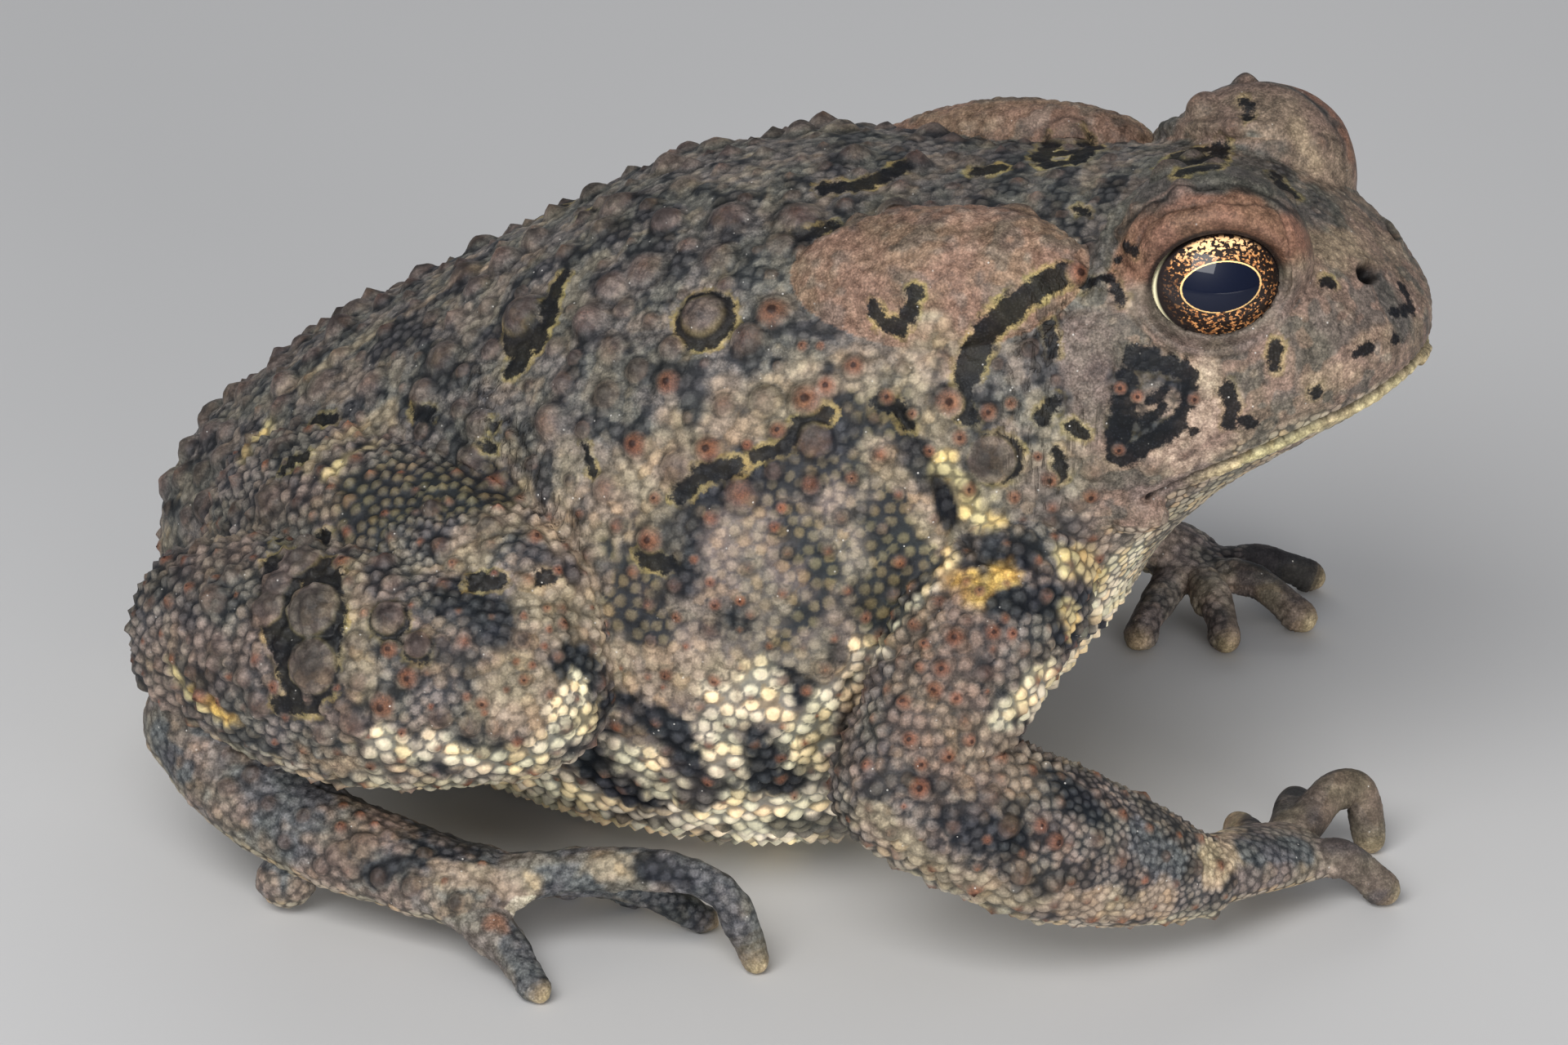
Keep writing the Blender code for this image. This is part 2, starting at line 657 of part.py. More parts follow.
def make_leg(side, hand, rows, draw):
    upper = limb_sections(THIGH, hand, 3)
    lower = limb_sections(SHANK, hand, 3)
    ankle = limb_sections(TARSUS, hand, 3)
    thigh = loft("thigh_" + side, upper, LIMB_SIDES)
    bumps = limb_warts(upper, hand, draw, 1.0, 3.4, ((30, 120), (0.3, 0.8)), [plain_tree(lower)])
    combine(thigh, bumps, "UNION")
    combine(thigh, [trunk_cutter(rows)], "DIFFERENCE")
    shank = loft("shank_" + side, lower, LIMB_SIDES)
    neighbours = [plain_tree(upper), plain_tree(ankle)]
    bumps = limb_warts(lower, hand, draw, 0.9, 3.2, ((-60, 120), (0.2, 0.8)), neighbours)
    for share, degrees, size in SHANK_WARTS:
        place, normal = limb_spot(lower, share, degrees, hand)
        if not near_any(place, neighbours, size + 2 * GAP):
            bumps.append(wart(place, normal, size, 0.6 * size, 8))
    combine(shank, bumps, "UNION")
    combine(shank, [loft("cutter", upper, LIMB_SIDES, GAP), trunk_cutter(rows)], "DIFFERENCE")
    foot = loft("foot_" + side, ankle, 12)
    centre, halves = HEEL_KNOB
    added = digits(TOES, hand) + [ball("knob", mirrored(centre, hand), halves, None, 10, 7)]
    added += [web(first, second, hand) for first, second in zip(TOES, TOES[1:])]
    combine(foot, added, "UNION")
    combine(foot, [loft("cutter", lower, LIMB_SIDES, GAP), trunk_cutter(rows)], "DIFFERENCE")
    return [thigh, shank, foot]


def trunk_cutter(rows):
    """The whole trunk, grown by the gap, as a cutter for the limbs."""
    return loft("cutter", [trunk_section(row) for row in rows_through(TRUNK, 2)], TRUNK_SIDES, GAP)


def main():
    clear_scene()
    draw = random.Random(WART_SEED)
    rows = rows_through(TRUNK, 12)
    back = skin_material("back_skin", SKINS["back"], 0.6)
    limb = skin_material("limb_skin", SKINS["limb"], 0.6)
    gloss = skin_material("eye_gloss", SKINS["eye"], 0.05)
    limbs = []
    for side, hand in (("right", -1), ("left", 1)):
        limbs += make_arm(side, hand, rows, draw) + make_leg(side, hand, rows, draw)
    trees = [surface_tree(obj) for obj in limbs]
    for obj in limbs:
        finish(obj, limb)
    finish(make_torso(rows, trees, draw), back)
    finish(make_head(rows), back)
    for side, hand in (("right", -1), ("left", 1)):
        finish(make_eye("eye_" + side, hand), gloss)


main()
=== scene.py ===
"""The looks of a sitting American toad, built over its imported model.

One skin stands for all of the flesh. It starts from the same sections as the solids, is made into one
surface, and then carries lids, warts, granules, folds and markings. The eyes are pieces of their own.
Lengths are in millimetres until a mesh is made. Places given as pixels are of a 1920 x 1280 picture
taken by the scene's camera, and are cast from there onto the skin.
"""

import math
import random
from collections import namedtuple

import bmesh
import bpy
import numpy as np
from mathutils import Matrix, Vector
from mathutils.bvhtree import BVHTree
from mathutils.kdtree import KDTree


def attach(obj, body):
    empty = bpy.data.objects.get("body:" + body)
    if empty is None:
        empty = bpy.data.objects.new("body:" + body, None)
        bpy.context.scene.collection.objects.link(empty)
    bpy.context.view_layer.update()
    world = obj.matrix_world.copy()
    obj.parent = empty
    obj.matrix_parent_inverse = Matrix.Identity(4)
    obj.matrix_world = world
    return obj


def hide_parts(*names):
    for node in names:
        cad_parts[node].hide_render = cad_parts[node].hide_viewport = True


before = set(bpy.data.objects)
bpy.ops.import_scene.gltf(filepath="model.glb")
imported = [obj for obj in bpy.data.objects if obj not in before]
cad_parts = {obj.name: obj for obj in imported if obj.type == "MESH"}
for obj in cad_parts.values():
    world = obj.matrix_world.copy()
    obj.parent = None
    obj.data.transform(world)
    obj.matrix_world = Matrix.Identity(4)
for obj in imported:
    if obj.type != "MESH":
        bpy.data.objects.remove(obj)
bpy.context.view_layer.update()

MM = 0.001
SEED = 19

# The camera: degrees, and lens and sensor in its own units.
VIEW_AZIMUTH = 15.0
VIEW_ELEVATION = 25.0
LENS = 145.0
SENSOR = 36.0
TARGET = (0.0, 0.0, 18.8)
PHOTO_WIDTH, PHOTO_HEIGHT = 1920, 1280
PIXELS_PER_MM = 19.0
CAMERA_DISTANCE = PHOTO_WIDTH / PIXELS_PER_MM * LENS / SENSOR  # mm

# Trunk sections: place along X, top, belly, half width, height of the widest level, squareness.
TRUNK = [
    (-41.7, 16.8, 13.4, 2.2, 15.0, 2.0),
    (-39.6, 21.0, 9.0, 7.8, 15.0, 2.0),
    (-35.4, 25.2, 4.8, 11.8, 15.0, 2.0),
    (-29.4, 29.6, 3.0, 14.8, 15.2, 2.1),
    (-22.0, 34.0, 1.6, 17.2, 15.6, 2.1),
    (-15.0, 38.3, 0.4, 19.4, 16.4, 2.1),
    (-8.0, 42.0, -0.4, 21.8, 17.2, 2.1),
    (0.0, 44.2, -0.4, 22.8, 18.6, 2.1),
    (7.0, 44.8, 0.4, 21.8, 22.0, 2.1),
    (13.0, 44.8, 4.2, 19.4, 26.0, 2.1),
    (18.0, 45.2, 10.4, 17.2, 30.0, 2.1),
    (22.2, 45.8, 16.4, 15.8, 32.8, 2.15),
    (25.8, 46.4, 22.4, 15.0, 34.6, 2.2),
    (29.8, 46.2, 27.0, 13.8, 36.0, 2.3),
    (33.6, 44.7, 29.8, 11.8, 36.8, 2.35),
    (36.8, 42.6, 31.9, 9.4, 37.2, 2.35),
    (39.2, 40.4, 33.8, 6.8, 37.2, 2.3),
    (40.5, 39.0, 35.0, 4.3, 37.2, 2.1),
    (41.1, 38.2, 36.2, 1.8, 37.2, 2.0),
]

# The head's parts on one side, with Y kept positive.
EYE_RADIUS = 4.4
EYE_CENTRE = (29.1, 7.9, 42.3)
GAZE = (0.24, 0.93, 0.27)  # the way the eye looks
LID_HALVES = (6.2, 5.0, 5.9)
LID_CENTRE = (28.9, 7.3, 43.2)
EYE_OPENING = (3.9, 3.1)  # half length and half height of the lids' slit
PAROTOID_CENTRE = (12.4, 10.9, 41.4)
PAROTOID_HALVES = (9.6, 4.9, 3.2)
# The bony crest above and behind the eye: place, then half width and half height.
CREST = [
    (33.6, 6.8, 45.8, 0.8, 0.8),
    (30.2, 4.2, 47.4, 0.9, 0.9),
    (26.0, 4.4, 47.0, 1.0, 1.0),
    (23.0, 7.8, 45.2, 1.1, 1.1),
    (22.8, 11.8, 41.8, 1.0, 1.0),
]
DRUM_PLACE = (22.8, 38.8)  # the ear drum's place along X and its height
DRUM_RADIUS = 1.9
NOSTRIL_PIXEL = (1673, 335)
NOSTRIL_RADIUS = 0.68
NOSTRIL_DEPTH = 1.3  # half the bore's length
LEFT_NOSTRIL_SHIFT = Vector((0, -1.1, -0.6))
# The mouth's line from the snout to its corner: place along X and height.
MOUTH = [(40.9, 35.9), (39.4, 35.3), (36.4, 34.1), (32.6, 32.6), (29.0, 31.1), (26.2, 29.6)]

Arm = namedtuple("Arm", "upper fore palm fingers")

# Limb sections on one side: place, then half width and half height. Y is kept positive.
RIGHT_ARM = Arm(
    upper=[
        (17.2, 13.8, 24.0, 6.2, 6.0),
        (16.8, 17.6, 21.0, 5.4, 5.4),
        (15.4, 20.8, 17.0, 4.7, 4.8),
        (14.2, 22.4, 13.8, 4.4, 4.5),
    ],
    fore=[
        (14.0, 22.8, 13.2, 4.6, 4.6),
        (18.2, 21.6, 11.0, 5.0, 5.0),
        (22.8, 19.6, 8.6, 4.8, 4.8),
        (27.2, 16.8, 6.3, 3.9, 3.9),
        (30.4, 14.4, 4.7, 2.7, 2.6),
    ],
    palm=[(31.0, 13.6, 4.6, 2.4, 2.2), (33.2, 9.8, 3.9, 3.0, 1.9), (34.8, 6.6, 3.0, 3.3, 1.6)],
    fingers=[
        [(32.8, 6.0, 2.6, 1.3, 1.2), (31.4, 2.8, 1.9, 1.15, 1.1), (30.4, 0.2, 0.9, 1.0, 1.0)],
        [(34.2, 4.2, 3.0, 1.3, 1.2), (34.0, 0.2, 3.0, 1.15, 1.1), (33.6, -3.6, 1.0, 1.0, 1.05)],
        [
            (35.0, 4.0, 3.1, 1.35, 1.2),
            (36.4, 0.6, 4.4, 1.2, 1.15),
            (38.0, -0.8, 4.0, 1.1, 1.1),
            (38.8, -0.4, 1.0, 1.0, 1.05),
        ],
        [(35.8, 7.2, 2.8, 1.3, 1.2), (38.4, 6.8, 3.1, 1.15, 1.15), (41.0, 6.4, 1.0, 1.0, 1.05)],
    ],
)
LEFT_ARM = Arm(
    upper=[
        (15.4, 13.8, 24.0, 6.2, 6.0),
        (12.4, 18.0, 20.8, 5.4, 5.4),
        (7.0, 22.4, 16.2, 4.8, 4.8),
        (3.6, 25.0, 13.4, 4.5, 4.5),
    ],
    fore=[
        (3.2, 25.2, 13.0, 4.6, 4.6),
        (6.4, 27.8, 11.0, 5.0, 5.0),
        (10.0, 30.4, 8.6, 4.7, 4.7),
        (13.2, 32.6, 6.2, 3.7, 3.7),
        (15.8, 34.0, 4.7, 2.7, 2.6),
    ],
    palm=[(16.2, 34.2, 4.5, 2.4, 2.1), (18.4, 34.6, 3.4, 3.0, 1.8), (20.6, 34.2, 2.6, 3.2, 1.5)],
    fingers=[
        [(19.4, 32.0, 2.5, 1.3, 1.2), (18.8, 28.6, 2.0, 1.15, 1.1), (18.4, 25.4, 1.0, 1.0, 1.05)],
        [(21.2, 32.4, 2.5, 1.3, 1.2), (22.8, 29.4, 2.3, 1.15, 1.1), (24.2, 26.6, 1.0, 1.0, 1.05)],
        [(21.8, 33.6, 2.5, 1.35, 1.2), (25.0, 32.6, 2.7, 1.2, 1.1), (28.6, 31.2, 1.0, 1.0, 1.05)],
        [(21.6, 35.4, 2.5, 1.3, 1.2), (25.0, 36.8, 2.2, 1.15, 1.1), (28.0, 37.8, 1.0, 1.0, 1.05)],
    ],
)
ARMS = {-1: RIGHT_ARM, 1: LEFT_ARM}
THIGH = [
    (-28.4, 9.4, 18.8, 7.0, 7.4),
    (-23.4, 13.2, 20.2, 7.6, 7.8),
    (-17.2, 17.2, 20.8, 7.4, 7.2),
    (-12.0, 20.4, 20.4, 6.5, 6.8),
]
SHANK = [
    (-11.2, 23.2, 17.9, 6.2, 6.8),
    (-16.4, 24.0, 17.6, 6.8, 7.4),
    (-22.4, 23.2, 17.0, 6.8, 7.4),
    (-28.0, 21.2, 16.6, 6.2, 6.9),
    (-31.6, 19.8, 15.8, 5.3, 6.1),
]
TARSUS = [
    (-32.4, 20.8, 10.4, 3.8, 3.8),
    (-28.8, 22.8, 7.4, 3.6, 3.3),
    (-23.2, 24.8, 5.6, 3.3, 2.9),
    (-17.4, 26.0, 4.7, 3.2, 2.6),
    (-12.6, 26.6, 4.3, 3.4, 2.2),
]
HEEL_KNOB = ((-25.8, 25.2, 2.1), (1.92, 1.36, 1.68))  # centre, half sizes
TOES = [
    [(-13.8, 24.6, 3.8, 1.5, 1.3), (-11.0, 21.2, 2.4, 1.25, 1.2), (-8.8, 18.4, 0.85, 0.85, 0.9)],
    [(-12.6, 25.0, 4.1, 1.5, 1.3), (-8.2, 21.6, 3.2, 1.3, 1.2), (-4.4, 18.8, 0.85, 0.85, 0.9)],
    [(-11.8, 25.6, 4.4, 1.6, 1.4), (-5.6, 22.8, 4.2, 1.4, 1.3), (0.6, 21.0, 0.85, 0.85, 0.9)],
    [
        (-11.4, 26.4, 4.7, 1.7, 1.5),
        (-5.6, 25.6, 5.9, 1.4, 1.35),
        (-0.6, 25.0, 6.2, 1.15, 1.15),
        (3.0, 25.0, 4.9, 1.1, 1.1),
        (4.9, 25.3, 0.85, 0.85, 0.9),
    ],
    [(-13.6, 28.0, 3.9, 1.6, 1.4), (-10.2, 29.8, 2.7, 1.3, 1.2), (-7.0, 32.2, 0.9, 0.9, 0.95)],
]
WEB_REACH = 0.42  # share of a toe's length that the web follows
WEB_THICKNESS = 0.6

CELL = 0.21  # the skin's mesh spacing
HEAD_START = 20.5  # place along X; the mesh is twice as fine in front of it

Section = namedtuple("Section", "centre side up half rise drop square")


def curve_at(t, a, b, c, d):
    """The value at a share t of the way from b to c, on a smooth curve that also passes a and d."""
    return 0.5 * (2 * b + (c - a) * t + (2 * a - 5 * b + 4 * c - d) * t**2 + (3 * b - a - 3 * c + d) * t**3)


def rows_through(rows, steps):
    """Rows on one smooth curve through the given rows, with this many steps in each span."""
    last = len(rows) - 1
    found = []
    for i in range(last):
        before, start, end, after = rows[max(i - 1, 0)], rows[i], rows[i + 1], rows[min(i + 2, last)]
        for k in range(steps):
            found.append(tuple(curve_at(k / steps, *four) for four in zip(before, start, end, after)))
    found.append(tuple(rows[last]))
    return found


def trunk_section(row):
    x, top, belly, half, wide, square = row
    side, up = Vector((0, 1, 0)), Vector((0, 0, 1))
    return Section(Vector((x, 0, wide)), side, up, half, top - wide, wide - belly, square)


def limb_sections(rows, hand, steps):
    """Oval sections square to a limb's own line, with a dome at each end."""
    fine = rows_through(rows, steps)
    places = [Vector((x, y * hand, z)) for x, y, z, _, _ in fine]
    sections = []
    for i, (place, row) in enumerate(zip(places, fine)):
        along = (places[min(i + 1, len(places) - 1)] - places[max(i - 1, 0)]).normalized()
        side = Vector((0, 0, 1)).cross(along).normalized()
        sections.append(Section(place, side, along.cross(side).normalized(), row[3], row[4], row[4], 2.0))
    start = (places[0] - places[1]).normalized()
    end = (places[-1] - places[-2]).normalized()
    return dome(sections[0], start)[::-1] + sections + dome(sections[-1], end)


def dome(section, way):
    """Ever smaller copies of an end section, which close it with a round end."""
    reach = 0.5 * (section.half + section.rise)
    rings = []
    for degrees in (18, 36, 54, 70, 82):
        scale, out = math.cos(math.radians(degrees)), math.sin(math.radians(degrees))
        rings.append(
            section._replace(
                centre=section.centre + way * reach * out,
                half=section.half * scale,
                rise=section.rise * scale,
                drop=section.drop * scale,
            )
        )
    return rings


def mirrored(place, hand):
    return Vector((place[0], place[1] * hand, place[2]))


class Flesh:
    """The plain closed forms under the skin, with the part and the place along it of every face."""

    def __init__(self):
        self.points = []
        self.faces = []
        self.parts = []
        self.shares = []

    def closed(self, part, rings, start, end):
        """Rings of points with a pole at each end."""
        base = len(self.points)
        sides = len(rings[0])
        for ring in rings:
            self.points.extend(ring)
        self.points.extend((start, end))
        south = base + len(rings) * sides
        for i in range(len(rings) - 1):
            low, high = base + i * sides, base + (i + 1) * sides
            for k in range(sides):
                after = (k + 1) % sides
                self.face(part, i / len(rings), (low + k, low + after, high + after, high + k))
        top = base + (len(rings) - 1) * sides
        for k in range(sides):
            after = (k + 1) % sides
            self.face(part, 0.0, (base + after, base + k, south))
            self.face(part, 1.0, (top + k, top + after, south + 1))

    def face(self, part, share, corners):
        self.faces.append(corners)
        self.parts.append(part)
        self.shares.append(share)

    def loft(self, part, sections, sides):
        angles = np.linspace(0, 2 * math.pi, sides, endpoint=False)
        rings = []
        for s in sections:
            across = np.sign(np.cos(angles)) * np.abs(np.cos(angles)) ** (2 / s.square) * s.half
            tall = np.sign(np.sin(angles)) * np.abs(np.sin(angles)) ** (2 / s.square)
            tall *= np.where(tall > 0, s.rise, s.drop)
            rings.append(np.array(s.centre) + np.outer(across, s.side) + np.outer(tall, s.up))
        ends = []
        for section, inner in ((sections[0], sections[1]), (sections[-1], sections[-2])):
            way = (section.centre - inner.centre).normalized()
            ends.append(section.centre + way * 0.1 * min(section.half, section.rise))
        self.closed(part, rings, *ends)

    def ball(self, part, centre, halves, turn=None, sides=48):
        turn = turn or Matrix.Identity(4)
        placing = Matrix.Translation(Vector(centre)) @ turn @ Matrix.Diagonal((*halves, 1))
        rings = []
        for low in np.linspace(-math.pi / 2, math.pi / 2, sides // 2)[1:-1]:
            ring = [
                placing @ Vector((math.cos(low) * math.cos(a), math.cos(low) * math.sin(a), math.sin(low)))
                for a in np.linspace(0, 2 * math.pi, sides, endpoint=False)
            ]
            rings.append(ring)
        self.closed(part, rings, placing @ Vector((0, 0, -1)), placing @ Vector((0, 0, 1)))

    def web(self, part, first, second, hand):
        """A thin skin between two toes, with a hollow and scalloped edge."""
        fine = [[Vector(row[:3]) for row in rows_through(rows, 12)] for rows in (first, second)]
        across, along = 14, 16
        levels = []
        for level in (-0.5, 0.5):
            grid = []
            for i in range(along + 1):
                row = []
                for k in range(across + 1):
                    share = k / across
                    hollow = 1 - 0.3 * math.sin(math.pi * share) - 0.06 * math.sin(5 * math.pi * share) ** 2
                    reach = WEB_REACH * i / along * hollow
                    start, end = (spot(line, reach) for line in fine)
                    point = mirrored(start.lerp(end, share), hand)
                    row.append(point + Vector((0, 0, level * WEB_THICKNESS)))
                grid.append(row)
            levels.append(grid)
        base = len(self.points)
        wide = across + 1
        for grid in levels:
            for row in grid:
                self.points.extend(row)
        upper = base + wide * (along + 1)
        for i in range(along):
            for k in range(across):
                a, b = i * wide + k, (i + 1) * wide + k
                self.face(part, i / along, (upper + a, upper + a + 1, upper + b + 1, upper + b))
                self.face(part, i / along, (base + a, base + b, base + b + 1, base + a + 1))
        rim = list(range(wide)) + [i * wide + across for i in range(1, along + 1)]
        rim += [along * wide + k for k in reversed(range(across))]
        rim += [i * wide for i in reversed(range(1, along))]
        for here, after in zip(rim, rim[1:] + rim[:1]):
            self.face(part, 1.0, (base + here, base + after, upper + after, upper + here))


def spot(line, share):
    """The place at a share of a line's steps."""
    at = share * (len(line) - 1)
    low = min(int(at), len(line) - 2)
    return line[low].lerp(line[low + 1], at - low)


PARTS = (
    "trunk", "gland", "lid", "crest",
    "upper_arm", "forearm", "palm", "finger",
    "thigh", "shank", "tarsus", "toe", "web",
)


def part(name):
    return PARTS.index(name)


GLAND_TURN = (-42.0, -5.0, -6.0)  # degrees about X, Z and Y
CREST_SHARE = 0.6  # how much of the crests' section stands in the skin
MOUTH_CORNER = (2.2, 1.2, 1.3)  # half sizes of the swelling at the mouth's corner


def build_flesh():
    flesh = Flesh()
    flesh.loft(part("trunk"), [trunk_section(row) for row in rows_through(TRUNK, 12)], 160)
    for hand in (-1, 1):
        roll, yaw, pitch = (math.radians(degrees) for degrees in GLAND_TURN)
        turn = Matrix.Rotation(roll * hand, 4, "X") @ Matrix.Rotation(yaw * hand, 4, "Z")
        turn = Matrix.Rotation(pitch, 4, "Y") @ turn
        flesh.ball(part("gland"), mirrored(PAROTOID_CENTRE, hand), PAROTOID_HALVES, turn, 64)
        flesh.ball(part("lid"), mirrored(LID_CENTRE, hand), LID_HALVES, None, 64)
        low_crest = [(*row[:3], CREST_SHARE * row[3], CREST_SHARE * row[4]) for row in CREST]
        flesh.loft(part("crest"), limb_sections(low_crest, hand, 6), 20)
        x, z = MOUTH[-1]
        corner = Vector((x - 0.6, (side_at(x, z) - 0.4) * hand, z - 1.0))
        flesh.ball(part("trunk"), corner, MOUTH_CORNER)
        arm = ARMS[hand]
        flesh.loft(part("upper_arm"), limb_sections(arm.upper, hand, 8), 48)
        flesh.loft(part("forearm"), limb_sections(arm.fore, hand, 8), 48)
        flesh.loft(part("palm"), limb_sections(arm.palm, hand, 8), 36)
        for rows in arm.fingers:
            flesh.loft(part("finger"), limb_sections(rows, hand, 8), 24)
        flesh.loft(part("thigh"), limb_sections(THIGH, hand, 8), 56)
        flesh.loft(part("shank"), limb_sections(SHANK, hand, 8), 56)
        flesh.loft(part("tarsus"), limb_sections(TARSUS, hand, 8), 40)
        centre, halves = HEEL_KNOB
        flesh.ball(part("tarsus"), mirrored(centre, hand), halves)
        for rows in TOES:
            flesh.loft(part("toe"), limb_sections(rows, hand, 8), 24)
        for first, second in zip(TOES, TOES[1:]):
            flesh.web(part("web"), first, second, hand)
    return flesh


FINE_TRUNK = rows_through(TRUNK, 12)


def row_at(x):
    """The trunk's row at a place along X."""
    for low, high in zip(FINE_TRUNK, FINE_TRUNK[1:]):
        if low[0] <= x <= high[0]:
            share = (x - low[0]) / (high[0] - low[0])
            return tuple(a + (b - a) * share for a, b in zip(low, high))
    return FINE_TRUNK[0] if x < FINE_TRUNK[0][0] else FINE_TRUNK[-1]


def side_at(x, z):
    """Half the trunk's width at a place along X and a height."""
    section = trunk_section(row_at(x))
    tall = section.rise if z > section.centre.z else section.drop
    level = min(abs(z - section.centre.z) / tall, 1.0)
    return section.half * (1 - level**section.square) ** (1 / section.square)


def one_surface(flesh):
    """The forms' common outer surface, in even quads."""
    data = bpy.data.meshes.new("flesh")
    data.from_pydata([tuple(Vector(point) * MM) for point in flesh.points], [], flesh.faces)
    obj = bpy.data.objects.new("flesh", data)
    bpy.context.scene.collection.objects.link(obj)
    modifier = obj.modifiers.new("skin", "REMESH")
    modifier.mode = "VOXEL"
    modifier.voxel_size = CELL * MM
    skin = bpy.data.meshes.new_from_object(obj.evaluated_get(bpy.context.evaluated_depsgraph_get()))
    bpy.data.objects.remove(obj, do_unlink=True)
    return skin


class Skin:
    """The skin's points in millimetres, with their normals and neighbours."""

    def __init__(self, data):
        self.data = data
        self.measure()

    def measure(self):
        count = len(self.data.vertices)
        flat = np.empty(count * 3, np.float32)
        self.data.vertices.foreach_get("co", flat)
        self.points = flat.reshape(-1, 3).astype(float) / MM
        pairs = np.empty(len(self.data.edges) * 2, np.int32)
        self.data.edges.foreach_get("vertices", pairs)
        self.edges = pairs.reshape(-1, 2)
        self.degree = np.bincount(pairs, minlength=count).astype(float)

    def write(self):
        self.data.vertices.foreach_set("co", (self.points * MM).astype(np.float32).ravel())
        self.data.update()

    def normals(self):
        self.write()
        flat = np.empty(len(self.data.vertices) * 3, np.float32)
        self.data.vertex_normals.foreach_get("vector", flat)
        return flat.reshape(-1, 3).astype(float)

    def average(self, values):
        """Each point's mean of its neighbours' values."""
        a, b = self.edges[:, 0], self.edges[:, 1]
        found = np.empty_like(values)
        for k in range(values.shape[1]):
            total = np.bincount(a, values[b, k], len(values)) + np.bincount(b, values[a, k], len(values))
            found[:, k] = total / self.degree
        return found

    def smooth(self, times, weight=None):
        """Rounds the creases without shrinking the forms."""
        share = 1.0 if weight is None else weight[:, None]
        for _ in range(times):
            for pull in (0.6, -0.62):
                self.points += (self.average(self.points) - self.points) * pull * share

    def refine(self, chosen):
        """Splits the chosen faces into four."""
        self.write()
        mesh = bmesh.new()
        mesh.from_mesh(self.data)
        mesh.faces.ensure_lookup_table()
        edges = dict.fromkeys(edge for index in chosen for edge in mesh.faces[index].edges)
        bmesh.ops.subdivide_edges(mesh, edges=list(edges), cuts=1, use_grid_fill=True)
        mesh.to_mesh(self.data)
        mesh.free()
        self.measure()

    def face_centres(self):
        self.write()
        flat = np.empty(len(self.data.polygons) * 3, np.float32)
        self.data.polygons.foreach_get("center", flat)
        return flat.reshape(-1, 3) / MM

    def tree(self):
        self.write()
        return BVHTree.FromPolygons(
            [tuple(point) for point in self.points], [tuple(face.vertices) for face in self.data.polygons]
        )

    def store(self, name, values):
        kind = "FLOAT" if values.ndim == 1 else "FLOAT_COLOR"
        layer = self.data.attributes.new(name, kind, "POINT")
        if values.ndim == 1:
            layer.data.foreach_set("value", values.astype(np.float32))
        else:
            full = np.ones((len(values), 4), np.float32)
            full[:, :3] = values
            layer.data.foreach_set("color", full.ravel())


def ease(value, low, high):
    """0 below low, 1 above high, and a smooth step between. low may be above high."""
    share = np.clip((value - low) / (high - low), 0, 1)
    return share * share * (3 - 2 * share)


def ridge(away, width):
    """1 on a line and a smooth fall to nothing on both sides of it."""
    return np.exp(-((away / width) ** 2))


LATTICE = 64  # steps after which the noise repeats
CLOUD_SPREAD = 1.4  # brings the noise's spread close to -1 to 1


def cloud(points, size, seed):
    """Smooth noise from -1 to 1, with features of about this size."""
    values = np.random.default_rng(seed).uniform(-1, 1, (LATTICE, LATTICE, LATTICE))
    place = points / size + 1000.5
    whole = np.floor(place).astype(int)
    part_way = place - whole
    part_way = part_way * part_way * (3 - 2 * part_way)
    total = np.zeros(len(points))
    for corner in range(8):
        step = [(corner >> axis) & 1 for axis in range(3)]
        weight = np.ones(len(points))
        index = []
        for axis in range(3):
            weight *= part_way[:, axis] if step[axis] else 1 - part_way[:, axis]
            index.append((whole[:, axis] + step[axis]) % LATTICE)
        total += values[tuple(index)] * weight
    return total * CLOUD_SPREAD


def camera_axes():
    a, e = math.radians(VIEW_AZIMUTH), math.radians(VIEW_ELEVATION)
    back = Vector((math.sin(a) * math.cos(e), -math.cos(a) * math.cos(e), math.sin(e)))
    right = Vector((math.cos(a), math.sin(a), 0))
    return back, right, back.cross(right)


def pixel_way(u, v):
    """The way from the camera through a pixel, a unit long along the camera's own line."""
    back, right, up = camera_axes()
    scale = SENSOR / PHOTO_WIDTH / LENS
    return -back + right * (u - PHOTO_WIDTH / 2) * scale + up * (PHOTO_HEIGHT / 2 - v) * scale


def camera_place():
    return Vector(TARGET) + camera_axes()[0] * CAMERA_DISTANCE


def make_camera():
    back, right, up = camera_axes()
    data = bpy.data.cameras.new("camera")
    data.lens = LENS
    data.sensor_width = SENSOR
    data.clip_start = 0.01
    data.clip_end = 10
    camera = bpy.data.objects.new("camera", data)
    bpy.context.scene.collection.objects.link(camera)
    turn = Matrix((right, up, back)).transposed().to_4x4()
    camera.matrix_world = Matrix.Translation(camera_place() * MM) @ turn
    bpy.context.scene.camera = camera


IN_SIGHT = 0.6  # a place is in sight when the camera's line to it ends this near
NEAR_MIDDLE = 1.5  # lines nearer the toad's middle than this have no copy on its left


class Sight:
    """Finds the points of the skin behind pixels of the picture."""

    def __init__(self, tree):
        self.tree = tree
        self.back = camera_axes()[0]
        self.eye = camera_place()
        self.missed = 0

    def at(self, u, v):
        way = pixel_way(u, v)
        found = self.tree.ray_cast(self.eye, way.normalized())[0]
        if found is None:
            self.missed += 1
            across = self.eye + way * CAMERA_DISTANCE
            found = self.tree.find_nearest(across)[0]
        return found

    def line(self, pixels):
        return [self.at(u, v) for u, v in pixels]

    def sees(self, place):
        found = self.tree.ray_cast(self.eye, (place - self.eye).normalized())[0]
        return found is not None and (found - place).length < IN_SIGHT

    def sides(self, pixels, shift=Vector((0, 0, 0))):
        """The places at the pixels, and a shifted copy on the toad's left where the camera can't see it."""
        places = self.line(pixels)
        if min(abs(place.y) for place in places) < NEAR_MIDDLE:
            return [places]
        moved = [self.tree.find_nearest(mirrored(place, -1) + shift)[0] for place in places]
        return [places] if any(self.sees(place) for place in moved) else [places, moved]


FAR = 5.0  # mm; points farther than this from a line aren't measured


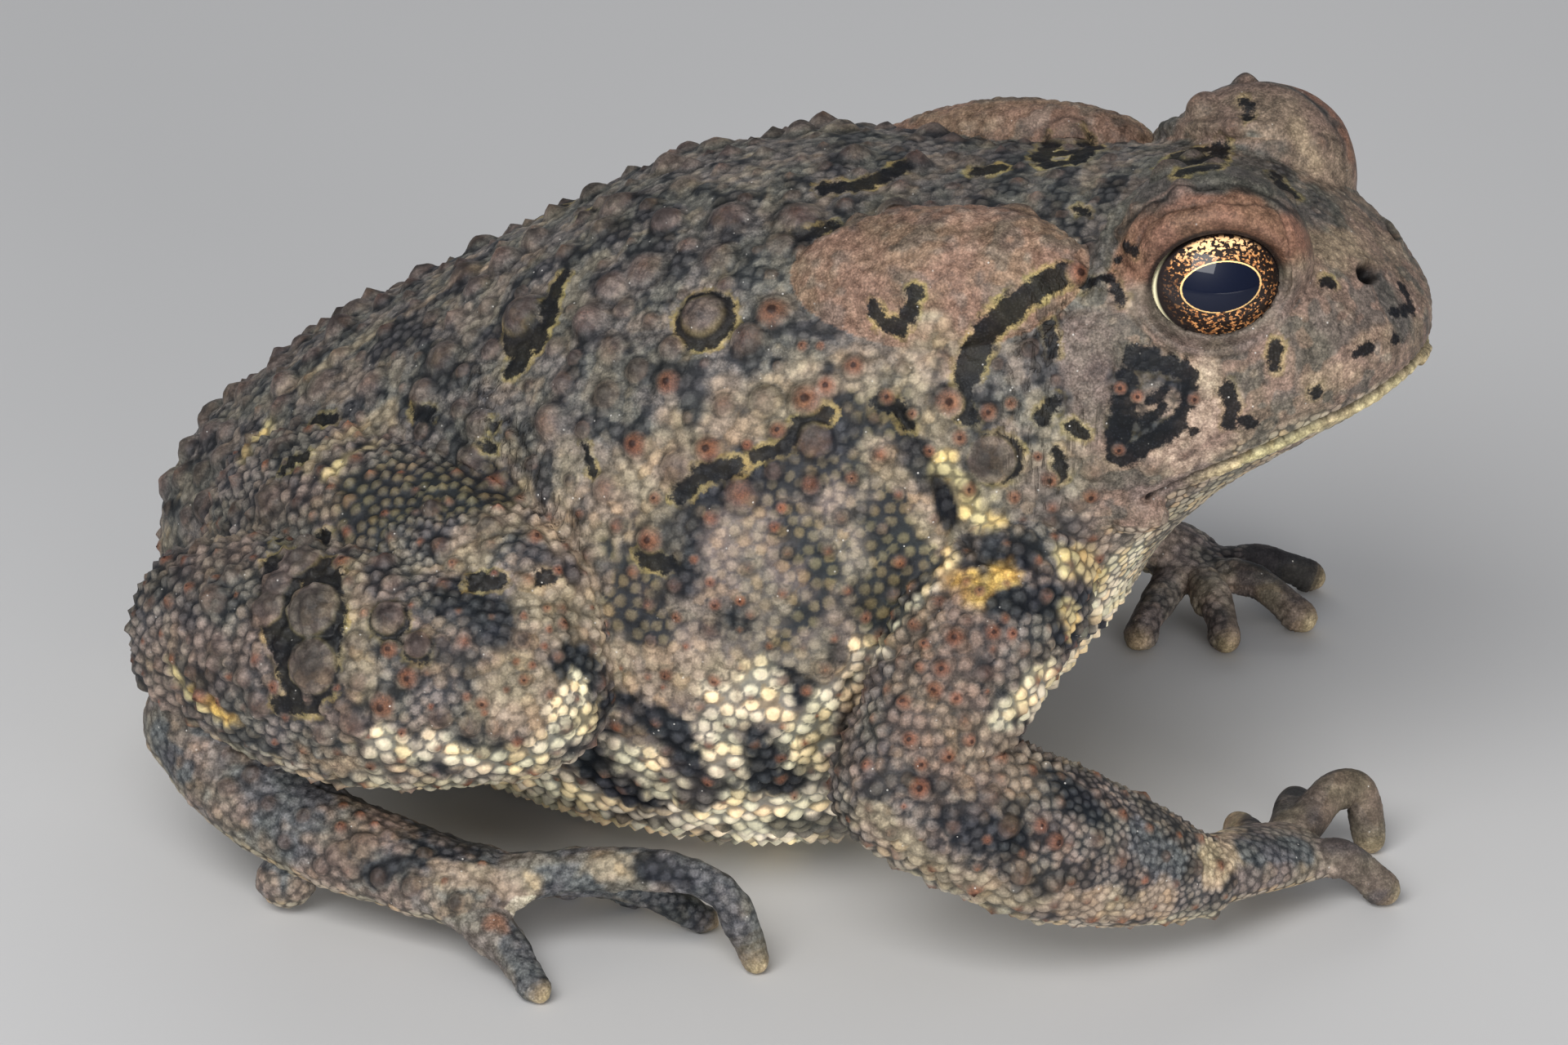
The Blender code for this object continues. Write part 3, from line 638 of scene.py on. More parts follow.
def line_distance(points, line):
    """Each point's distance to a line of places, or twice FAR where that is farther than FAR."""
    places = np.array([tuple(place) for place in line])
    inside = np.all((points > places.min(axis=0) - FAR) & (points < places.max(axis=0) + FAR), axis=1)
    near = points[inside]
    least = np.linalg.norm(near - places[0], axis=1)
    for a, b in zip(places, places[1:]):
        along = b - a
        share = np.clip((near - a) @ along / max(along @ along, 1e-9), 0, 1)
        least = np.minimum(least, np.linalg.norm(near - a - share[:, None] * along, axis=1))
    away = np.full(len(points), 2 * FAR)
    away[inside] = least
    return away


SLIT_WAY = Vector((1, 0, 0.12))


def gaze_turn(hand):
    """Turns Z to the way the eye looks, with X kept along the head."""
    look = mirrored(GAZE, hand).normalized()
    along = (SLIT_WAY - look * look.dot(SLIT_WAY)).normalized()
    return Matrix((along, look.cross(along), look)).transposed()


EYE_TILT = math.radians(6.0)  # how far the slit's front end is above its rear end


def eye_frame(points, hand):
    """The points as seen along the eye's gaze: along the slit, up the eye and out of it."""
    turn = np.array(gaze_turn(hand))
    local = (points - np.array(mirrored(EYE_CENTRE, hand))) @ turn
    local[:, 1] *= -hand
    return turned_flat(local, -EYE_TILT)


def turned_flat(local, angle):
    """The points turned about the gaze."""
    turned = local.copy()
    turned[:, 0] = local[:, 0] * math.cos(angle) - local[:, 1] * math.sin(angle)
    turned[:, 1] = local[:, 0] * math.sin(angle) + local[:, 1] * math.cos(angle)
    return turned


def from_eye_frame(local, hand):
    turned = turned_flat(local, EYE_TILT)
    turned[:, 1] *= -hand
    return turned @ np.array(gaze_turn(hand)).T + np.array(mirrored(EYE_CENTRE, hand))


# How the eye opens in the skin, in the eye's own frame.
# Ridges round the slit: height, distance from the slit, width.
UPPER_RIDGES = ((0.32, 1.35, 0.75), (-0.3, 2.75, 0.3))
LOWER_RIDGES = ((0.2, 0.75, 0.3), (-0.2, 1.35, 0.18))
LID_TOP = 0.75  # the upper lid's thickness over the ball
LID_LOW = 0.32  # the same at the lower lid
LID_SLOPE = 0.95  # how far the lids' inner slope reaches
LID_REACH = 2.2  # how far round the slit the lids are shaped, as a share of its size
FAR_FROM_EYE = 9.0  # stands for the distance of points farther off than that
SNAP = 0.062  # points this near the slit's edge are set on it


def open_eye(skin, hand):
    """Opens the lids over the eyeball: a clean slit, a thick upper lid and a soft fold under the eye."""
    local = eye_frame(skin.points, hand)
    half_long, half_tall = EYE_OPENING
    ratio = np.maximum(np.hypot(local[:, 0] / half_long, local[:, 1] / half_tall), 1e-6)
    across = np.hypot(local[:, 0], local[:, 1])
    reach = across / ratio
    off = across - reach
    front = (local[:, 2] > 0.4) & (ratio < LID_REACH)
    height = local[:, 1] / across.clip(1e-6)
    ball = np.sqrt(np.maximum(EYE_RADIUS**2 - reach**2, 0.1))
    margin = ball + LID_LOW + (LID_TOP - LID_LOW) * ease(height, -0.3, 0.75)
    lid = margin + (local[:, 2] - margin) * ease(off, 0.0, LID_SLOPE)
    low = ease(height, 0.1, -0.35)
    high = ease(height, 0.15, 0.6)
    for share, ridges in ((high, UPPER_RIDGES), (low, LOWER_RIDGES)):
        for lift, place, width in ridges:
            lid += share * lift * ridge(off - place, width)
    under = np.sqrt(np.maximum(EYE_RADIUS**2 - across**2, 0.1)) - 0.7
    on_edge = front & (np.abs(off) < SNAP)
    inside = front & (off <= -SNAP)
    outside = front & (off >= SNAP)
    moved = local.copy()
    moved[on_edge, :2] *= (reach / across)[on_edge, None]
    moved[on_edge, 2] = margin[on_edge]
    moved[inside, 2] = under[inside]
    moved[outside, 2] = lid[outside]
    skin.points[front] = from_eye_frame(moved, hand)[front]
    return np.where(front, off, FAR_FROM_EYE), height


# Folds: height (below 0 for a groove), half width, pixels.
FOLDS = [
    (-0.22, 0.2, [
        (1392, 300), (1402, 276), (1428, 260), (1465, 250), (1520, 248), (1562, 254), (1578, 285),
    ]),
    (-0.5, 0.4, [(1100, 505), (1130, 560), (1152, 600), (1172, 650), (1200, 685), (1240, 690)]),
    (0.3, 0.5, [(1130, 500), (1165, 560), (1190, 610), (1215, 650)]),
    (0.25, 0.5, [(1088, 540), (1122, 600), (1150, 660), (1163, 700), (1140, 750), (1090, 790)]),
    (-0.4, 0.35, [(1040, 840), (1090, 800), (1140, 760), (1168, 705)]),
    (-0.25, 0.3, [(548, 520), (600, 575), (660, 620), (705, 680), (735, 745)]),
    (-0.12, 0.14, [(560, 470), (610, 560), (640, 590)]),
    (-0.12, 0.14, [(590, 455), (640, 540), (665, 590)]),
    (-0.12, 0.14, [(615, 450), (660, 530), (690, 600)]),
    (-0.1, 0.14, [(1262, 380), (1240, 450), (1236, 520)]),
    (-0.1, 0.14, [(1282, 370), (1262, 450), (1256, 540), (1262, 590)]),
    (-0.12, 0.14, [(1296, 360), (1280, 440), (1272, 520), (1282, 600)]),
    (-0.1, 0.14, [(1308, 400), (1300, 470), (1300, 540)]),
    (-0.1, 0.14, [(1215, 470), (1230, 540), (1262, 620)]),
    (0.22, 0.25, [(1378, 300), (1392, 272), (1412, 252)]),
    (-0.2, 0.2, [(1578, 290), (1580, 330), (1574, 352)]),
    (-0.16, 0.2, [(1368, 250), (1420, 232), (1480, 232), (1560, 242), (1590, 252)]),
]

# Named warts on the right side: pixel, radius in pixels, height in mm, look.
WARTS = [
    # The back and the crown.
    (862, 388, 26, 0.75, "brown"), (642, 388, 28, 0.8, "brown"), (1308, 172, 24, 0.6, "pink"),
    (1460, 192, 14, 0.35, "brown"), (1190, 200, 16, 0.4, "brown"), (978, 268, 26, 0.5, "pink"),
    (894, 268, 24, 0.5, "pink"), (878, 180, 20, 0.4, "pink"), (935, 190, 15, 0.35, "brown"),
    (838, 228, 18, 0.4, "brown"), (790, 330, 24, 0.4, "pink"), (880, 318, 20, 0.35, "brown"),
    (955, 300, 18, 0.3, "brown"), (948, 385, 22, 0.5, "red"), (715, 268, 12, 0.4, "dark"),
    (740, 250, 16, 0.35, "brown"), (750, 350, 20, 0.35, "brown"), (680, 425, 14, 0.3, "brown"),
    (518, 482, 18, 0.45, "brown"), (588, 522, 20, 0.45, "brown"), (455, 470, 20, 0.4, "pink"),
    (395, 470, 22, 0.4, "brown"), (345, 545, 20, 0.4, "brown"), (330, 610, 22, 0.4, "dark"),
    # The flank and the neck.
    (750, 430, 18, 0.3, "pink"), (820, 470, 17, 0.35, "red"), (690, 470, 15, 0.3, "brown"),
    (780, 545, 17, 0.45, "red"), (868, 550, 17, 0.5, "red"), (916, 545, 8, 0.3, "red"),
    (953, 527, 12, 0.35, "red"), (803, 610, 9, 0.3, "red"), (798, 660, 17, 0.5, "red"),
    (988, 490, 20, 0.55, "red"), (1046, 450, 14, 0.4, "red"), (1012, 474, 14, 0.4, "red"),
    (983, 425, 8, 0.25, "red"), (1005, 425, 7, 0.2, "red"), (1086, 487, 11, 0.3, "red"),
    (1117, 507, 8, 0.25, "red"), (1163, 493, 18, 0.4, "red"), (1211, 505, 12, 0.3, "red"),
    (1238, 494, 9, 0.25, "red"), (1175, 536, 11, 0.3, "red"), (1214, 562, 27, 0.6, "dark"),
    (1241, 607, 10, 0.3, "red"), (1186, 597, 11, 0.3, "red"), (1138, 552, 9, 0.25, "red"),
    (1285, 586, 12, 0.3, "red"), (1340, 575, 14, 0.35, "pink"), (1320, 615, 14, 0.35, "pink"),
    (1335, 605, 12, 0.35, "red"),
    # The head.
    (1318, 335, 15, 0.45, "red"), (1335, 310, 14, 0.3, "brown"), (1372, 475, 9, 0.2, "red"),
    (1393, 485, 9, 0.2, "red"), (1412, 570, 14, 0.25, "pink"), (1450, 555, 10, 0.2, "pink"),
    (1370, 550, 9, 0.2, "red"), (1462, 488, 9, 0.2, "red"), (1446, 235, 16, 0.5, "pink"),
    (1470, 130, 20, 0.6, "pink"), (1390, 255, 9, 0.3, "pink"), (1372, 285, 9, 0.35, "pink"),
    (1510, 155, 14, 0.3, "pink"), (1615, 175, 12, 0.25, "pink"),
    # The thigh and the shank.
    (368, 690, 24, 0.6, "dark"), (385, 748, 31, 0.85, "dark"), (385, 815, 30, 0.8, "dark"),
    (476, 758, 19, 0.6, "dark"), (512, 790, 15, 0.5, "dark"), (330, 745, 22, 0.5, "dark"),
    (432, 885, 17, 0.45, "pink"), (470, 862, 17, 0.45, "red"), (395, 900, 16, 0.4, "pink"),
    (500, 830, 14, 0.35, "red"), (440, 835, 12, 0.3, "pink"), (540, 880, 14, 0.35, "dark"),
    (590, 860, 10, 0.3, "red"), (575, 890, 14, 0.35, "pink"), (640, 785, 10, 0.3, "dark"),
    (688, 765, 9, 0.3, "red"), (270, 740, 14, 0.4, "brown"), (270, 790, 14, 0.4, "brown"),
    (250, 850, 12, 0.35, "red"), (600, 645, 14, 0.5, "dark"), (610, 625, 9, 0.3, "red"),
    (530, 625, 12, 0.6, "dark"), (470, 690, 16, 0.4, "pink"), (420, 690, 14, 0.35, "red"),
    # The lower flank.
    (870, 712, 8, 0.2, "red"), (850, 685, 7, 0.18, "red"), (957, 622, 8, 0.2, "red"),
    (948, 645, 8, 0.2, "red"), (876, 740, 9, 0.2, "red"), (830, 755, 9, 0.25, "red"),
    (816, 825, 9, 0.25, "red"), (875, 833, 10, 0.3, "red"), (907, 735, 8, 0.2, "red"),
    # The arm.
    (1170, 782, 13, 0.4, "red"), (1155, 820, 12, 0.4, "red"), (1215, 775, 11, 0.35, "red"),
    (1238, 776, 9, 0.3, "red"), (1205, 825, 11, 0.35, "pink"), (1145, 845, 12, 0.4, "red"),
    (1110, 860, 11, 0.35, "red"), (1170, 855, 10, 0.35, "red"), (1115, 905, 11, 0.35, "red"),
    (1160, 925, 11, 0.4, "red"), (1185, 905, 10, 0.35, "red"), (1222, 930, 13, 0.45, "red"),
    (1245, 915, 12, 0.4, "pink"), (1125, 965, 14, 0.45, "red"), (1215, 975, 12, 0.45, "pink"),
    (1235, 1012, 14, 0.7, "pink"), (1290, 1030, 12, 0.6, "red"), (1250, 1070, 14, 0.6, "pink"),
    (1128, 935, 10, 0.35, "red"), (1195, 1085, 12, 0.5, "red"), (1290, 1080, 12, 0.6, "pink"),
    (1135, 790, 9, 0.3, "red"), (1128, 818, 8, 0.3, "red"), (1200, 725, 8, 0.2, "red"),
    # Smaller ones on the leg.
    (375, 668, 18, 0.45, "brown"), (262, 735, 18, 0.5, "pink"), (285, 705, 14, 0.4, "brown"),
    (245, 672, 14, 0.45, "brown"), (265, 812, 12, 0.35, "brown"), (300, 830, 14, 0.4, "pink"),
    (318, 862, 18, 0.45, "pink"), (340, 716, 20, 0.5, "dark"), (478, 796, 12, 0.35, "red"),
    (480, 715, 12, 0.35, "brown"), (540, 670, 12, 0.3, "pink"), (655, 660, 12, 0.3, "red"),
    (590, 650, 10, 0.3, "dark"), (435, 790, 14, 0.3, "brown"), (632, 810, 6, 0.15, "red"),
    (651, 815, 6, 0.15, "red"), (641, 832, 8, 0.2, "red"), (665, 792, 6, 0.15, "red"),
    (671, 772, 6, 0.15, "red"), (641, 757, 6, 0.15, "red"), (668, 747, 6, 0.15, "red"),
    (555, 690, 8, 0.2, "red"), (593, 872, 6, 0.2, "red"), (605, 892, 12, 0.3, "pink"),
    # The ankle and the foot.
    (420, 990, 8, 0.3, "red"), (441, 1000, 8, 0.3, "red"), (418, 1015, 9, 0.35, "red"),
    (459, 1010, 7, 0.3, "red"), (476, 1022, 10, 0.3, "brown"), (445, 1035, 16, 0.5, "pink"),
    (415, 1047, 14, 0.45, "brown"), (430, 1065, 12, 0.45, "pink"), (465, 1075, 12, 0.5, "brown"),
    (285, 925, 14, 0.4, "brown"), (308, 950, 12, 0.4, "brown"), (280, 965, 12, 0.4, "brown"),
    (505, 1085, 12, 0.4, "brown"), (520, 1045, 9, 0.3, "dark"), (545, 1080, 6, 0.25, "red"),
    (590, 1060, 7, 0.25, "red"), (560, 1105, 10, 0.35, "dark"), (372, 1000, 10, 0.3, "brown"),
    (395, 1060, 10, 0.4, "brown"), (330, 985, 10, 0.35, "brown"), (350, 1030, 10, 0.35, "brown"),
]

# Black marks with a yellow edge on the right side: radius in mm, how yellow the edge is, pixels.
MARKS = [
    # The back.
    (1.95, 1.0, [(863, 393)]),
    (1.5, 1.0, [(640, 412)]),
    (0.55, 1.0, [(690, 340), (676, 370), (672, 395), (660, 420)]),
    (0.7, 1.0, [(640, 440), (628, 452)]),
    # The crown and the skin behind it.
    (0.6, 1.0, [(1275, 195), (1290, 178), (1325, 172), (1340, 182), (1320, 198), (1280, 202)]),
    (0.6, 1.0, [(1290, 188), (1328, 187)]),
    (0.55, 0.9, [(1428, 206), (1444, 190), (1470, 183), (1494, 182), (1484, 204), (1448, 212)]),
    (0.5, 0.9, [(1450, 200), (1480, 195)]),
    (0.6, 0.9, [(1196, 212), (1222, 208)]),
    (0.6, 1.0, [(1012, 230), (1050, 228), (1085, 216), (1105, 206)]),
    # Round the neck gland, and the neck.
    (0.42, 1.0, [(958, 292), (992, 292), (1020, 278)]),
    (0.68, 1.0, [(1300, 336), (1268, 355), (1236, 378)]),
    (0.8, 1.0, [(1236, 378), (1210, 405), (1190, 440), (1184, 460)]),
    (0.32, 0.8, [(1183, 470), (1182, 510)]),
    (0.42, 0.6, [(1180, 508), (1192, 512)]),
    (0.42, 1.0, [(1070, 378), (1082, 395), (1100, 402)]),
    (0.45, 1.0, [(1100, 402), (1114, 382), (1121, 358)]),
    (1.5, 0.7, [(1222, 562)]),
    (0.35, 0.5, [(1284, 400), (1290, 432)]),
    (0.4, 0.6, [(1292, 492), (1276, 512)]),
    (0.4, 0.6, [(1312, 522), (1326, 532)]),
    (0.35, 0.4, [(1294, 555), (1300, 582)]),
    # The flank, the rump and the top of the back.
    (0.5, 1.0, [(1012, 508), (985, 515)]),
    (0.5, 1.0, [(985, 515), (962, 545)]),
    (0.42, 1.0, [(962, 548), (925, 558)]),
    (0.6, 1.0, [(900, 572), (862, 580)]),
    (0.5, 1.0, [(850, 590), (832, 606)]),
    (0.55, 0.9, [(790, 682), (816, 690)]),
    (0.4, 0.8, [(1075, 493), (1100, 500), (1113, 520)]),
    (0.25, 0.8, [(716, 546), (726, 578)]),
    (0.5, 1.0, [(512, 505), (526, 508)]),
    (0.3, 1.0, [(602, 520), (606, 524)]),
    (0.25, 0.8, [(590, 546), (606, 550)]),
    (0.6, 0.8, [(405, 518), (390, 520)]),
    (0.6, 0.8, [(352, 575), (372, 562)]),
    (0.75, 0.9, [(722, 260)]),
    (0.5, 0.8, [(690, 255), (650, 268)]),
    # The face.
    (0.3, 0.3, [(1340, 345), (1358, 340), (1366, 356), (1374, 368)]),
    (0.3, 0.3, [(1335, 348), (1326, 350)]),
    (0.3, 0.2, [(1381, 304), (1390, 310)]),
    (0.25, 0.0, [(1369, 318)]),
    (0.72, 0.1, [(1393, 438), (1408, 440)]),
    (0.55, 0.1, [(1420, 445), (1448, 452), (1456, 462)]),
    (0.72, 0.1, [(1380, 468), (1378, 500), (1370, 530)]),
    (0.55, 0.1, [(1366, 530), (1366, 556)]),
    (0.4, 0.1, [(1458, 462), (1454, 495), (1440, 520)]),
    (0.6, 0.1, [(1440, 520), (1412, 538), (1378, 560)]),
    (0.3, 0.0, [(1400, 515), (1425, 500)]),
    (0.3, 0.0, [(1426, 478), (1410, 490)]),
    (0.25, 0.0, [(1462, 527)]),
    (0.42, 0.6, [(1563, 425), (1560, 448)]),
    (0.42, 0.3, [(1500, 475), (1510, 500), (1506, 520)]),
    (0.35, 0.1, [(1520, 516), (1535, 518)]),
    (0.42, 0.2, [(1611, 480)]),
    (0.5, 0.7, [(1626, 346)]),
    (0.3, 0.5, [(1521, 122), (1530, 132), (1524, 146)]),
    (0.35, 0.5, [(1562, 215), (1570, 230), (1584, 240)]),
    (0.3, 0.6, [(1319, 256), (1328, 262)]),
    (0.35, 0.0, [(1716, 350), (1728, 372)]),
    (0.3, 0.0, [(1705, 385), (1730, 378)]),
    (0.3, 0.0, [(1660, 432), (1680, 425)]),
    (0.3, 0.0, [(1708, 415)]),
    # The shank and the thigh.
    (1.4, 0.8, [(350, 690), (345, 750), (360, 800), (372, 840)]),
    (1.3, 0.8, [(395, 700), (400, 760), (392, 830)]),
    (0.6, 0.8, [(345, 862), (385, 862)]),
    (0.5, 0.5, [(345, 665), (400, 660)]),
    (1.15, 0.5, [(478, 762)]),
    (0.8, 0.4, [(512, 796)]),
    (0.5, 0.6, [(580, 715), (610, 712)]),
    (0.45, 0.2, [(655, 710), (672, 708)]),
]

# The skin's tones: colour between the granules, colour of their tops, how much the granules show in the
# colour, and how much of the tops' colour there is without them.
TONES = {
    "back": ((0.05, 0.051, 0.053), (0.175, 0.163, 0.15), 0.3, 0.1),
    "flank": ((0.11, 0.099, 0.085), (0.26, 0.222, 0.182), 0.4, 0.1),
    "tan": ((0.15, 0.122, 0.093), (0.33, 0.27, 0.205), 0.5, 0.1),
    "mauve": ((0.13, 0.112, 0.105), (0.255, 0.212, 0.172), 0.6, 0.0),
    "olive": ((0.022, 0.025, 0.029), (0.115, 0.1, 0.066), 0.7, -0.12),
    "black": ((0.008, 0.01, 0.014), (0.04, 0.043, 0.05), 0.6, -0.1),
    "cream": ((0.19, 0.178, 0.15), (0.67, 0.6, 0.45), 0.95, 0.08),
    "belly": ((0.34, 0.32, 0.275), (0.86, 0.78, 0.6), 1.0, 0.1),
    "yellow": ((0.18, 0.15, 0.09), (0.52, 0.43, 0.24), 0.9, 0.1),
    "orange": ((0.33, 0.2, 0.06), (0.66, 0.45, 0.14), 0.4, 0.2),
    "gland": ((0.13, 0.078, 0.055), (0.31, 0.205, 0.15), 0.1, 0.1),
    "face": ((0.105, 0.078, 0.063), (0.28, 0.202, 0.16), 0.1, 0.1),
    "crown": ((0.045, 0.045, 0.042), (0.145, 0.132, 0.117), 0.1, 0.1),
    "rust": ((0.12, 0.062, 0.042), (0.29, 0.165, 0.115), 0.1, 0.1),
    "snout": ((0.15, 0.107, 0.08), (0.33, 0.25, 0.185), 0.1, 0.1),
    "grey": ((0.1, 0.08, 0.07), (0.24, 0.19, 0.165), 0.0, 0.1),
    "drum": ((0.095, 0.075, 0.068), (0.22, 0.175, 0.155), 0.0, 0.1),
    "cheek": ((0.26, 0.19, 0.145), (0.46, 0.37, 0.29), 0.1, 0.1),
    "lip": ((0.26, 0.22, 0.13), (0.58, 0.5, 0.3), 0.2, 0.1),
    "limb": ((0.03, 0.032, 0.036), (0.2, 0.178, 0.16), 0.45, 0.0),
    "brown": ((0.08, 0.065, 0.057), (0.27, 0.205, 0.165), 0.45, 0.0),
    "slate": ((0.025, 0.029, 0.036), (0.15, 0.154, 0.163), 0.3, 0.0),
    "hand": ((0.22, 0.17, 0.115), (0.52, 0.42, 0.3), 0.3, 0.1),
    "tip": ((0.3, 0.23, 0.14), (0.44, 0.35, 0.23), 0.0, 0.1),
    "web": ((0.33, 0.3, 0.22), (0.6, 0.57, 0.46), 0.1, 0.1),
    "throat": ((0.06, 0.05, 0.04), (0.36, 0.31, 0.24), 0.9, 0.2),
}

# Regions on the right side: tone, radius, softness, pixels.
REGIONS = [
    # The back and the flank.
    ("tan", 0.3, 0.5, [(346, 486), (470, 402), (603, 322)]),
    ("tan", 0.6, 0.7, [(380, 570), (430, 530), (480, 505)]),
    ("yellow", 0.3, 0.6, [(300, 560), (330, 520)]),
    ("yellow", 0.3, 0.6, [(400, 585), (450, 550)]),
    ("gland", 1.0, 0.8, [(1060, 350), (1120, 395), (1162, 425)]),
    ("tan", 1.9, 1.6, [(1060, 480), (960, 500), (880, 530), (800, 590), (740, 650), (700, 660)]),
    ("tan", 0.8, 1.2, [(1150, 420), (1125, 470), (1150, 540)]),
    ("olive", 1.6, 1.4, [(1080, 520), (1000, 560), (930, 590), (870, 620)]),
    ("black", 1.1, 0.9, [(1030, 525), (980, 545), (920, 575), (870, 600)]),
    ("black", 0.8, 0.8, [(1080, 560), (1100, 600)]),
    ("black", 0.8, 0.8, [(760, 740), (790, 760)]),
    ("olive", 1.5, 1.2, [(1080, 640), (1110, 690), (1060, 730)]),
    ("olive", 1.6, 1.4, [(750, 740), (790, 770), (780, 700)]),
    ("mauve", 2.4, 1.6, [(860, 690), (940, 690), (1010, 660)]),
    ("mauve", 1.8, 1.4, [(880, 790), (940, 800), (1000, 780)]),
    ("tan", 1.3, 1.2, [(760, 820), (810, 830), (880, 820), (880, 860)]),
    ("black", 1.0, 0.8, [(925, 740), (900, 760)]),
    ("black", 1.1, 0.8, [(960, 830), (985, 850)]),
    ("black", 0.9, 0.8, [(740, 865), (790, 880)]),
    ("black", 1.1, 0.8, [(820, 890), (850, 930)]),
    ("black", 1.1, 0.9, [(930, 900), (935, 950), (960, 960)]),
    ("black", 0.9, 0.8, [(730, 900), (720, 940), (790, 980)]),
    ("cream", 0.9, 0.7, [(760, 925), (800, 925)]),
    ("cream", 0.9, 0.7, [(880, 860), (880, 900), (890, 940)]),
    ("cream", 1.0, 0.8, [(925, 830), (940, 870), (990, 900), (1010, 910)]),
    ("yellow", 0.8, 0.8, [(1130, 640), (1160, 690), (1150, 730)]),
    ("cream", 0.9, 0.8, [(1150, 730), (1100, 780), (1050, 800), (1020, 850), (990, 890)]),
    ("tan", 0.9, 0.9, [(1080, 555), (1110, 600), (1140, 650)]),
    ("yellow", 0.9, 0.7, [(1150, 575), (1180, 620), (1205, 640)]),
    ("black", 0.45, 0.4, [(1145, 590), (1165, 640)]),
    ("black", 0.9, 0.6, [(1210, 670), (1250, 680)]),
    ("olive", 1.4, 1.2, [(1090, 640), (1110, 690), (1080, 740)]),
    ("black", 1.0, 1.2, [(850, 640), (835, 720)]),
    ("olive", 1.2, 1.4, [(960, 640), (1000, 700), (985, 760)]),
    ("mauve", 1.6, 1.4, [(900, 660), (930, 720)]),
    # The arm and the chest.
    ("orange", 0.8, 0.8, [(1180, 712), (1225, 708)]),
    ("orange", 0.5, 0.8, [(1180, 735), (1210, 730)]),
    ("brown", 2.2, 1.5, [(1160, 780), (1150, 850), (1170, 920), (1220, 930)]),
    ("black", 0.7, 0.5, [(1220, 740), (1290, 730)]),
    ("black", 0.8, 0.5, [(1300, 775), (1320, 790)]),
    ("cream", 1.9, 0.8, [(1370, 690), (1355, 750), (1310, 810), (1270, 850)]),
    ("yellow", 0.8, 0.7, [(1310, 690), (1345, 705)]),
    ("black", 0.6, 0.5, [(1290, 745), (1330, 730)]),
    ("black", 0.5, 0.4, [(1330, 770), (1350, 760)]),
    ("cream", 0.9, 0.7, [(1275, 830), (1235, 870)]),
    ("yellow", 0.5, 0.6, [(1305, 745), (1310, 765)]),
    # The head.
    ("drum", 1.9, 0.8, [(1332, 420)]),
    ("drum", 1.1, 0.8, [(1325, 470), (1330, 500)]),
    ("black", 1.6, 0.7, [(1400, 465), (1425, 485), (1395, 520)]),
    ("crown", 0.25, 0.6, [(1415, 475), (1408, 505)]),
    ("brown", 0.45, 0.5, [(1390, 500), (1432, 490)]),
    ("cheek", 0.5, 0.5, [(1480, 450), (1478, 490), (1470, 520), (1430, 552), (1405, 575)]),
    ("cheek", 0.35, 0.5, [(1440, 578), (1490, 555)]),
    ("grey", 0.5, 0.5, [(1395, 600), (1440, 592), (1480, 575)]),
    ("snout", 1.3, 1.2, [(1600, 300), (1660, 300)]),
    ("snout", 0.5, 0.6, [(1660, 420), (1700, 400)]),
    ("snout", 0.6, 0.6, [(1600, 470), (1650, 460)]),
    ("crown", 0.8, 0.8, [(1690, 350), (1715, 400)]),
    ("face", 2.2, 0.8, [(1480, 140), (1540, 120), (1590, 150), (1625, 190)]),
    ("snout", 0.9, 0.7, [(1590, 165), (1610, 195)]),
    ("rust", 1.0, 0.5, [(1405, 290), (1450, 272), (1500, 268), (1550, 272), (1565, 290)]),
    ("tan", 0.6, 0.7, [(1395, 320), (1400, 350), (1395, 380)]),
    # The thigh and the shank.
    ("tan", 0.9, 0.8, [(432, 700), (440, 760), (445, 840)]),
    ("tan", 1.2, 1.0, [(560, 690), (600, 640), (640, 620)]),
    ("olive", 2.4, 1.4, [(460, 610), (560, 600)]),
    ("tan", 2.2, 1.2, [(680, 740), (660, 800), (640, 850)]),
    ("tan", 0.9, 0.8, [(715, 700), (725, 750), (730, 790)]),
    ("black", 1.3, 0.9, [(690, 810), (710, 830)]),
    ("black", 1.2, 1.0, [(560, 730), (600, 760)]),
    ("cream", 0.9, 0.9, [(470, 905), (560, 925), (640, 925), (710, 890)]),
    ("cream", 0.9, 0.8, [(690, 860), (715, 880)]),
    # The ankle and the foot.
    ("slate", 1.8, 1.4, [(330, 960), (360, 1000)]),
    ("yellow", 0.35, 0.5, [(215, 812), (235, 850), (285, 885)]),
    ("orange", 0.4, 0.6, [(240, 845), (285, 880)]),
    ("snout", 0.6, 0.9, [(385, 930), (420, 940)]),
    ("hand", 0.5, 0.6, [(410, 945), (500, 975)]),
    ("brown", 1.2, 1.0, [(430, 1040), (470, 1010)]),
    ("black", 0.6, 0.6, [(460, 1070), (520, 1050)]),
    ("slate", 0.8, 0.7, [(640, 1045), (700, 1040)]),
    ("tan", 0.7, 0.6, [(545, 1070), (600, 1075), (640, 1090)]),
    ("tan", 0.6, 0.6, [(735, 1060), (760, 1060)]),
    ("black", 0.5, 0.6, [(790, 1060), (840, 1075)]),
    ("slate", 0.7, 0.6, [(630, 1160), (640, 1180)]),
    ("rust", 0.5, 0.5, [(605, 1130)]),
    # The hand and the forearm.
    ("hand", 1.3, 0.7, [(1475, 1020), (1490, 1060)]),
    ("slate", 1.2, 0.8, [(1400, 1030), (1440, 1060)]),
    ("slate", 1.0, 0.6, [(1530, 1040), (1590, 1040)]),
    ("tan", 1.1, 0.8, [(1065, 1000), (1130, 1050), (1200, 1090), (1300, 1110), (1420, 1110)]),
    ("black", 1.0, 0.8, [(1180, 1010), (1240, 1030)]),
    ("black", 0.8, 0.8, [(1300, 960), (1330, 990)]),
]

